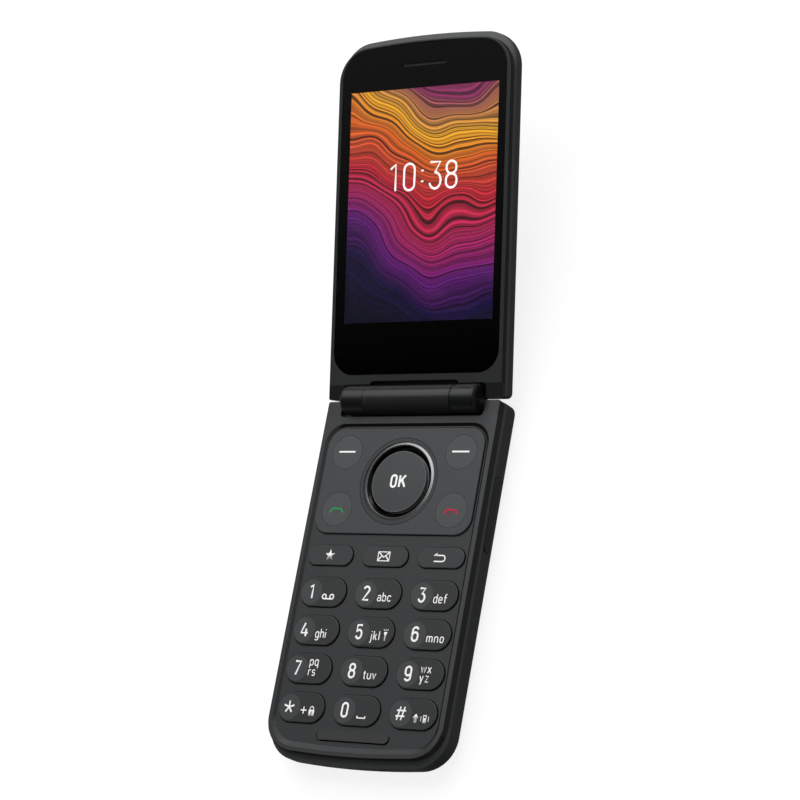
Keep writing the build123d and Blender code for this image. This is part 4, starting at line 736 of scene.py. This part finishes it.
shake = [[(0, 0.4), (0, 1.7)], [(2.35, 0.4), (2.35, 1.7)]]
small_phone = [(3.40, -0.10), (3.40, -2.2), (4.46, -2.2), (4.46, -0.10), (3.95, -0.10), (3.95, -0.40),
               (4.16, -0.40), (4.16, -0.95), (3.70, -0.95), (3.70, -0.40), (3.91, -0.40), (3.91, -0.10)]
star_radii = [1.70, 0.68] * 5
star = [(r * math.sin(math.pi * i / 5), r * math.cos(math.pi * i / 5)) for i, r in enumerate(star_radii)]
envelope = [([(-1.85, -1.25), (1.85, -1.25), (1.85, 1.25), (-1.85, 1.25)], True),
            [(-1.85, 1.25), (0, -0.25), (1.85, 1.25)], [(-1.85, -1.25), (-0.55, 0.2)],
            [(1.85, -1.25), (0.55, 0.2)]]
back_bow = [[(-2.1, 0.62), (0.55, 0.62)] + bow(0.6, -0.22, 0.84, 0.84, 90, -90) + [(-2.0, -1.06)]]
back_head = [(-2.45, 0.50), (-1.15, 1.30), (-1.15, 0.50)]
large_k = [[(0, 0), (0, 3.3)], [(1.75, 3.3), (0.1, 1.35)], [(0.75, 2.0), (1.85, 0)]]
MARKS = {
    "key_1": [pen(voicemail, 0.42, (0.05, -1.92))],
    "key_2": word("abc", WORD_X, WORD_Y),
    "key_3": word("def", WORD_X, WORD_Y),
    "key_4": word("ghi", WORD_X, WORD_Y),
    "key_5": [*word("jkl", WORD_X, WORD_Y, WIDE_SPACE), patch(torch), pen(torch_rays, 0.2)],
    "key_6": word("mno", WORD_X, WORD_Y, WIDE_SPACE),
    "key_7": [*word("pq", WORD_X, 0.92), *word("rs", WORD_X, WORD_Y + 0.15)],
    "key_8": word("tuv", WORD_X, WORD_Y),
    "key_9": [*word("wx", WORD_X, 0.42), *word("yz", WORD_X, WORD_Y, WIDE_SPACE)],
    "key_star": [pen(small_star, 0.50, (-3.95, -0.10)), pen(plus, 0.36, (0.0, -1.70)),
                 pen(lock_bow, 0.26, (2.65, -2.15)), patch(lock)],
    "key_0": [pen(space_sign, 0.48, (0.6, -1.95))],
    "key_hash": [pen(hash_sign, 0.45, (-3.75, 0.0)), patch(up_arrow), pen(shake, 0.2, (2.75, -2.15)),
                 patch(small_phone)],
    "favourite_key": [patch(star)],
    "message_key": [pen(envelope, 0.38, (-0.25, 0))],
    "back_key": [pen(back_bow, 0.38), patch(back_head)],
    "soft_key_left": [pen([[(-2.75, 0.1), (2.65, 0.1)]], 0.52)],
    "soft_key_right": [pen([[(-2.95, 0.1), (2.50, 0.1)]], 0.52)],
    "ok_key": [pen([oval(0, 0, 3.3, 0.80)], 0.68, (-1.50, -1.65)), pen(large_k, 0.68, (0.42, -1.65))],
}

white_ink = ink("white_ink", WHITE_INK)
for name, meshes in MARKS.items():
    digit = name.removeprefix("key_")
    if digit in DIGITS:
        meshes.insert(0, pen(DIGITS[digit], DIGIT_PEN, DIGIT_AT))
    put("print_" + name, meshes, on_top(name), white_ink, name)
green_ink = ink("green_ink", GREEN_INK)
red_ink = ink("red_ink", RED_INK)
faint_red_ink = ink("faint_red_ink", FAINT_RED_INK)
handset = [[(-2.15, -1.05), (-1.35, 0.10), (1.35, 0.10), (2.15, -1.05)]]
power = [bow(0, -1.15, 0.48, 0.48, 130, 410), [(0, -1.1), (0, -0.5)]]
put("print_call_key", [pen(handset, 0.55)], on_top("call_key"), green_ink, "call_key")
put("print_end_key", [pen(handset, 0.55)], on_top("end_key"), red_ink, "end_key")
put("print_power_sign", [pen(power, 0.2)], on_top("end_key"), faint_red_ink, "end_key")


# Key 5 carries a raised bar that the thumb can feel, moulded with the cap. It is drawn with the same
# pen as the print, and stands as high as ten coats of ink.
BAR_HALF = 2.1
BAR_X = -0.2
BAR_Y = -3.45
BAR_PEN = 0.42
BAR_COATS = 10
bar = [[(BAR_X - BAR_HALF, BAR_Y), (BAR_X + BAR_HALF, BAR_Y)]]
bar_place = on_top("key_5") @ Matrix.Diagonal((1, 1, BAR_COATS, 1))
put("key_5_bar", [pen(bar, BAR_PEN)], bar_place, function_plastic, "key_5")


# The volume rocker is a long satin key in the right wall, one hard moulding that tips about its
# middle. A flange behind the wall keeps it in.
# The rocker takes the painted shade colour of the housing's sides.
rocker_plastic = moulded("rocker_plastic", SIDE_SHADE_COLOUR, roughness=0.42, **SATIN)
dress(rocker_plastic, "volume_rocker")


# The parts inside the base, and the sockets in its left wall, keep the finish of their trade: stamped
# steel, green laminate, silicone, wrapped cells and black mouldings.
BRUSH_SCALE = 4000.0
BRUSH_STRETCH = (0.06, 1.0, 1.0)
THREAD_RISE = 0.03


def metal(name, colour, roughness):
    """Sheet or turned metal with a fine brush line along X."""
    material, tree, shader = new_material(name, {"Metallic": 1.0})
    values = {"Vector": surface_point(tree), "Scale": BRUSH_STRETCH}
    lines = noise(tree, add(tree, "ShaderNodeMapping", values).outputs[0], BRUSH_SCALE)
    wire(tree, shader, {"Base Color": streaked(tree, lines, colour, 0.8),
                        "Roughness": math_node(tree, "MULTIPLY_ADD", lines, 0.2, roughness - 0.1)})
    return material


dress(metal("stamped_steel", (0.56, 0.56, 0.57), 0.32), "usb_port", "sim_socket", "microphone",
      "vibration_motor", "dome_sheet")
dress(metal("blackened_steel", (0.10, 0.10, 0.105), 0.40), "base_screws", "lid_screws")
dress(metal("heavy_metal", (0.30, 0.29, 0.28), 0.50), "vibration_weight")
dress(metal("ground_steel", (0.48, 0.48, 0.49), 0.25), "hinge_can", "hinge_cam", "hinge_follower",
      "hinge_spring", "hinge_pin")
dress(moulded("silicone", (0.22, 0.22, 0.23), roughness=0.7), "keypad_membrane", "nav_actuator")
dress(moulded("laminate", (0.010, 0.085, 0.035), roughness=0.4, tone=0.3), "main_board", "lid_board")
dress(moulded("cell_wrap", (0.42, 0.43, 0.45), roughness=0.35), "battery")
dress(moulded("black_moulding", (0.012, 0.012, 0.012), roughness=0.4), "battery_contacts",
      "headset_jack", "earpiece")


def woven(name, thread, gap, pitch):
    """A fine square weave, dark between its threads."""
    material, tree, shader = new_material(name, {"Roughness": 0.6})
    place = split(tree, surface_point(tree))
    turn = 2 * math.pi / (pitch * MM)
    waves = [math_node(tree, "SINE", math_node(tree, "MULTIPLY", place[axis], turn)) for axis in "XY"]
    weave = math_node(tree, "MULTIPLY_ADD", math_node(tree, "MULTIPLY", *waves), 0.5, 0.5)
    wire(tree, shader, {"Base Color": mix_colour(tree, weave, gap, thread),
                        "Normal": relief(tree, weave, 0.4, THREAD_RISE)})
    return material


dress(woven("speaker_cloth", (0.045, 0.045, 0.047), (0.004, 0.004, 0.004), 0.30), "loudspeaker")
dress(moulded("flex_film", (0.32, 0.13, 0.02), roughness=0.35), "hinge_flex_base", "hinge_flex_lid")


# The lid's front frame and its two end knuckles are one moulding, like the base's front housing, and
# turn on the hinge. Its sides are painted darker, as shade. The caps that close the barrel are polished,
# and the lid's rear cover has the plastic of the base's rear, with its painted highlight and shade.
LID_COLOUR = (0.0190, 0.0205, 0.0205)
# The lid's side colour is painted shade.
LID_SIDE_SHADE_COLOUR = (0.0045, 0.0048, 0.0050)
module_faces = nodes["display_module"].data.polygons
lid_up = max((face.normal for face in module_faces), key=lambda normal: normal.z).copy()
lid_tilt = math.atan2(-lid_up.y, lid_up.z)

lid_plastic = moulded("lid_plastic", LID_COLOUR, roughness=HOUSING_ROUGHNESS)
tree = lid_plastic.node_tree
# The frame's sides are painted darker, as shade.
frame_shaded_colour = mix_colour(tree, facing(tree, front_of(lid_tilt), SIDE_SHADE_FACING), LID_COLOUR, LID_SIDE_SHADE_COLOUR)
on_barrel = barrel_mask(tree)
feed(lid_plastic, "Colour", mix_colour(tree, on_barrel, frame_shaded_colour, BARREL_COLOUR))
feed(lid_plastic, "Roughness", mix_number(tree, on_barrel, HOUSING_ROUGHNESS, BARREL_ROUGHNESS))
dress(lid_plastic, "lid_front_frame")
cap_plastic = moulded("cap_plastic", BARREL_COLOUR, roughness=0.34, size=0.09, depth=0.1)
dress(cap_plastic, "hinge_caps")
dress(shell("lid_shell_plastic", lid_tilt), "lid_rear_cover")


# The display lies behind its glass. Black print on the glass's inner face frames the picture, and the
# picture itself is a made-up pattern of lit waves under a plain clock.
SCREEN_NEAR = 21.7
SCREEN_WIDTH = 48.77
SCREEN_LENGTH = 65.02
PRINT_LEVEL = -0.99
PICTURE_LEVEL = -1.03
SMEAR_SCALE = 60.0
SMEAR_ROUGHNESS = 0.04
# Two waves lift the picture's colours, each by its turns, start and height. A slow drift of one scale
# and share adds to them, and the band's slope and start lay the sum over the colours.
SWAY = (1.9, 0.6, 0.34)
ROLL = (4.3, 2.2, 0.07)
DRIFT_SIZE = 0.9
DRIFT_SHARE = 0.9
BAND = (0.34, 0.33)
THREADS = 26.0
THREAD_SPAN = (0.38, 0.64)
THREAD_LIGHT = (0.08, 1.20)
PICTURE_COLOURS = [(0.0, (0.004, 0.003, 0.020)), (0.16, (0.012, 0.004, 0.060)), (0.30, (0.16, 0.010, 0.22)),
                   (0.44, (0.48, 0.018, 0.14)), (0.58, (0.66, 0.020, 0.040)), (0.72, (0.90, 0.16, 0.010)),
                   (0.84, (1.0, 0.46, 0.015)), (1.0, (0.30, 0.02, 0.12))]
CLOCK_DIGITS = [("1", -9.0), ("0", -4.0), ("3", 4.6), ("8", 9.8)]
CLOCK_COLON = [[(0.3, 2.0), (0.3, 2.5)], [(0.3, 5.0), (0.3, 5.5)]]
lid_place = Matrix.Translation(hinge_at) @ Matrix.Rotation(lid_tilt, 4, "X")
half = SCREEN_WIDTH / 2 * MM
near, far = SCREEN_NEAR * MM, (SCREEN_NEAR + SCREEN_LENGTH) * MM

glass_values = {"Roughness": 0.02, "IOR": 1.5, "Transmission Weight": 1.0,
                "Base Color": (0.97, 0.98, 0.98, 1)}
glass, tree, shader = new_material("cover_glass", glass_values)
smear = noise(tree, surface_point(tree), SMEAR_SCALE)
wire(tree, shader, {"Roughness": math_node(tree, "MULTIPLY", smear, SMEAR_ROUGHNESS)})
dress(glass, "display_glass")

# The print is the glass's inner face, cut along the picture's four sides and without its middle.
border = bmesh.new()
border.from_mesh(nodes["display_glass"].data)
bmesh.ops.remove_doubles(border, verts=border.verts, dist=0.001 * MM)
bmesh.ops.transform(border, matrix=lid_place.inverted(), verts=border.verts)
border.normal_update()
bmesh.ops.delete(border, geom=[f for f in border.faces if f.normal.z > -0.9], context="FACES")
for point, normal in (((half, 0, 0), (1, 0, 0)), ((-half, 0, 0), (1, 0, 0)), ((0, near, 0), (0, 1, 0)),
                      ((0, far, 0), (0, 1, 0))):
    everything = border.verts[:] + border.edges[:] + border.faces[:]
    bmesh.ops.bisect_plane(border, geom=everything, plane_co=point, plane_no=normal)
middles = [(face, face.calc_center_median()) for face in border.faces]
opening = [face for face, middle in middles if abs(middle.x) < half and near < middle.y < far]
bmesh.ops.delete(border, geom=opening, context="FACES")
for vertex in border.verts:
    vertex.co.z = PRINT_LEVEL * MM
bmesh.ops.reverse_faces(border, faces=border.faces)
bmesh.ops.transform(border, matrix=lid_place, verts=border.verts)
border_mesh = mesh_from("glass_border", border)
border_print = moulded("border_print", (0.0015, 0.0015, 0.0015), roughness=0.5, depth=0.05, specular=0.0)
border_mesh.materials.append(border_print)
glass_border = show("glass_border", border_mesh)
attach(glass_border, "lid")

dress(moulded("display_case", (0.02, 0.02, 0.022), roughness=0.4), "display_module", "outer_display")


def wave_over(tree, value, turns, start, height):
    """A sine wave over a value."""
    angle = math_node(tree, "MULTIPLY_ADD", value, turns, start)
    return math_node(tree, "MULTIPLY", math_node(tree, "SINE", angle), height)


screen_place = lid_place @ Matrix.Translation((0, (near + far) / 2, PICTURE_LEVEL * MM))
picture_mesh = sheet("screen_picture", screen_place @ Matrix.Diagonal((half, (far - near) / 2, 1, 1)))
lit_values = {"Roughness": 0.3, "Base Color": (0.0, 0.0, 0.0, 1), "Emission Strength": 1.0}
lit, tree, shader = new_material("lit_picture", lit_values)
values = {"Vector": surface_point(tree), "Location": tuple(screen_place.translation),
          "Rotation": (lid_tilt, 0, 0), "Scale": (half, half, half)}
flat = add(tree, "ShaderNodeMapping", values, vector_type="TEXTURE").outputs[0]
place = split(tree, flat)
drift = noise(tree, flat, DRIFT_SIZE, 1.0)
waved = math_node(tree, "ADD", place["Y"], wave_over(tree, place["X"], *SWAY))
waved = math_node(tree, "ADD", waved, wave_over(tree, place["X"], *ROLL))
level = math_node(tree, "MULTIPLY_ADD", drift, DRIFT_SHARE, waved)
ramp = add(tree, "ShaderNodeValToRGB", {0: math_node(tree, "MULTIPLY_ADD", level, *BAND)})
stops = ramp.color_ramp.elements
while len(stops) < len(PICTURE_COLOURS):
    stops.new(0.5)
for stop, (at, colour) in zip(stops, PICTURE_COLOURS):
    stop.position = at
    stop.color = (*colour, 1.0)
values = {"W": math_node(tree, "MULTIPLY", level, THREADS), "Scale": 1.0, "Detail": 4.0, "Roughness": 0.75}
threads = add(tree, "ShaderNodeTexNoise", values, noise_dimensions="1D").outputs["Fac"]
strength = ramp_between(tree, threads, THREAD_SPAN, THREAD_LIGHT)
dimmed = add(tree, "ShaderNodeVectorMath", {0: ramp.outputs[0], "Scale": strength}, operation="SCALE")
wire(tree, shader, {"Emission Color": dimmed.outputs[0]})
picture_mesh.materials.append(lit)
picture = show("screen_picture", picture_mesh)
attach(picture, "lid")

clock_values = {"Roughness": 0.4, "Emission Color": (1.0, 0.95, 0.95, 1), "Emission Strength": 0.9}
lit_white = new_material("lit_white", clock_values)[0]
clock = [pen(DIGITS[digit], 0.62, (x, 0), 2.0) for digit, x in CLOCK_DIGITS] + [pen(CLOCK_COLON, 0.8)]
clock_place = screen_place @ Matrix.Translation((0, 4.0 * MM, 0.01 * MM))
put("screen_clock", clock, clock_place, lit_white, "lid")


# The earpiece breathes through a woven steel strip in the glass's slot. The outer window on the back
# of the lid is gloss black, with the camera's ring and lens and a small flash set in its face.
TURN_STEPS = 64
CAMERA_AT = (-13.0, 91.5)
FLASH_AT = (-5.5, 91.5)
LID_BACK = -6.9
RING_PROFILE = [(2.55, 0.0), (2.55, 0.10), (2.85, 0.32), (3.35, 0.35), (3.60, 0.28), (3.65, 0.0)]
LENS_PROFILE = [(0.0, 0.22), (0.8, 0.215), (1.6, 0.19), (2.2, 0.14), (2.55, 0.08), (2.55, 0.0), (0.0, 0.0)]
FLASH_PROFILE = [(0.0, 0.14), (0.7, 0.13), (1.15, 0.09), (1.3, 0.0), (0.0, 0.0)]

dress(woven("earpiece_weave", (0.004, 0.004, 0.004), (0.0008, 0.0008, 0.0008), 0.20), "earpiece_mesh")
window_gloss = moulded("window_gloss", (0.004, 0.004, 0.0045), roughness=0.08, tone=0.05, depth=0.02,
                       specular=0.5)
dress(window_gloss, "outer_window")
dress(moulded("camera_black", (0.008, 0.008, 0.010), roughness=0.25, depth=0.05), "camera_module")


def turned_part(profile, closed=False):
    """A mesh turned about Z from points of radius and height, in millimetres."""
    shape = bmesh.new()
    verts = [shape.verts.new((radius, 0, height)) for radius, height in profile]
    pairs = list(zip(verts, verts[1:])) + ([(verts[-1], verts[0])] if closed else [])
    edges = [shape.edges.new(pair) for pair in pairs]
    bmesh.ops.spin(shape, geom=verts + edges, cent=(0, 0, 0), axis=(0, 0, 1), angle=2 * math.pi,
                   steps=TURN_STEPS, use_merge=True)
    bmesh.ops.remove_doubles(shape, verts=shape.verts, dist=0.0001)
    bmesh.ops.recalc_face_normals(shape, faces=shape.faces)
    return mesh_from("turned", shape)


def on_back(x, along):
    """The place of a mark on the outer window, which faces out from the lid's back."""
    at = Matrix.Translation((x * MM, along * MM, LID_BACK * MM))
    return lid_place @ at @ Matrix.Rotation(math.pi, 4, "X")


lens_glass = moulded("lens_glass", (0.002, 0.002, 0.004), roughness=0.05, tone=0.05, depth=0.0, specular=0.6)
flash_cover = moulded("flash_cover", (0.62, 0.60, 0.50), roughness=0.25, depth=0.3)
put("camera_ring", [turned_part(RING_PROFILE, closed=True)], on_back(*CAMERA_AT), trim_metal, "lid")
put("camera_lens", [turned_part(LENS_PROFILE)], on_back(*CAMERA_AT), lens_glass, "lid")
put("camera_flash", [turned_part(FLASH_PROFILE)], on_back(*FLASH_AT), flash_cover, "lid")
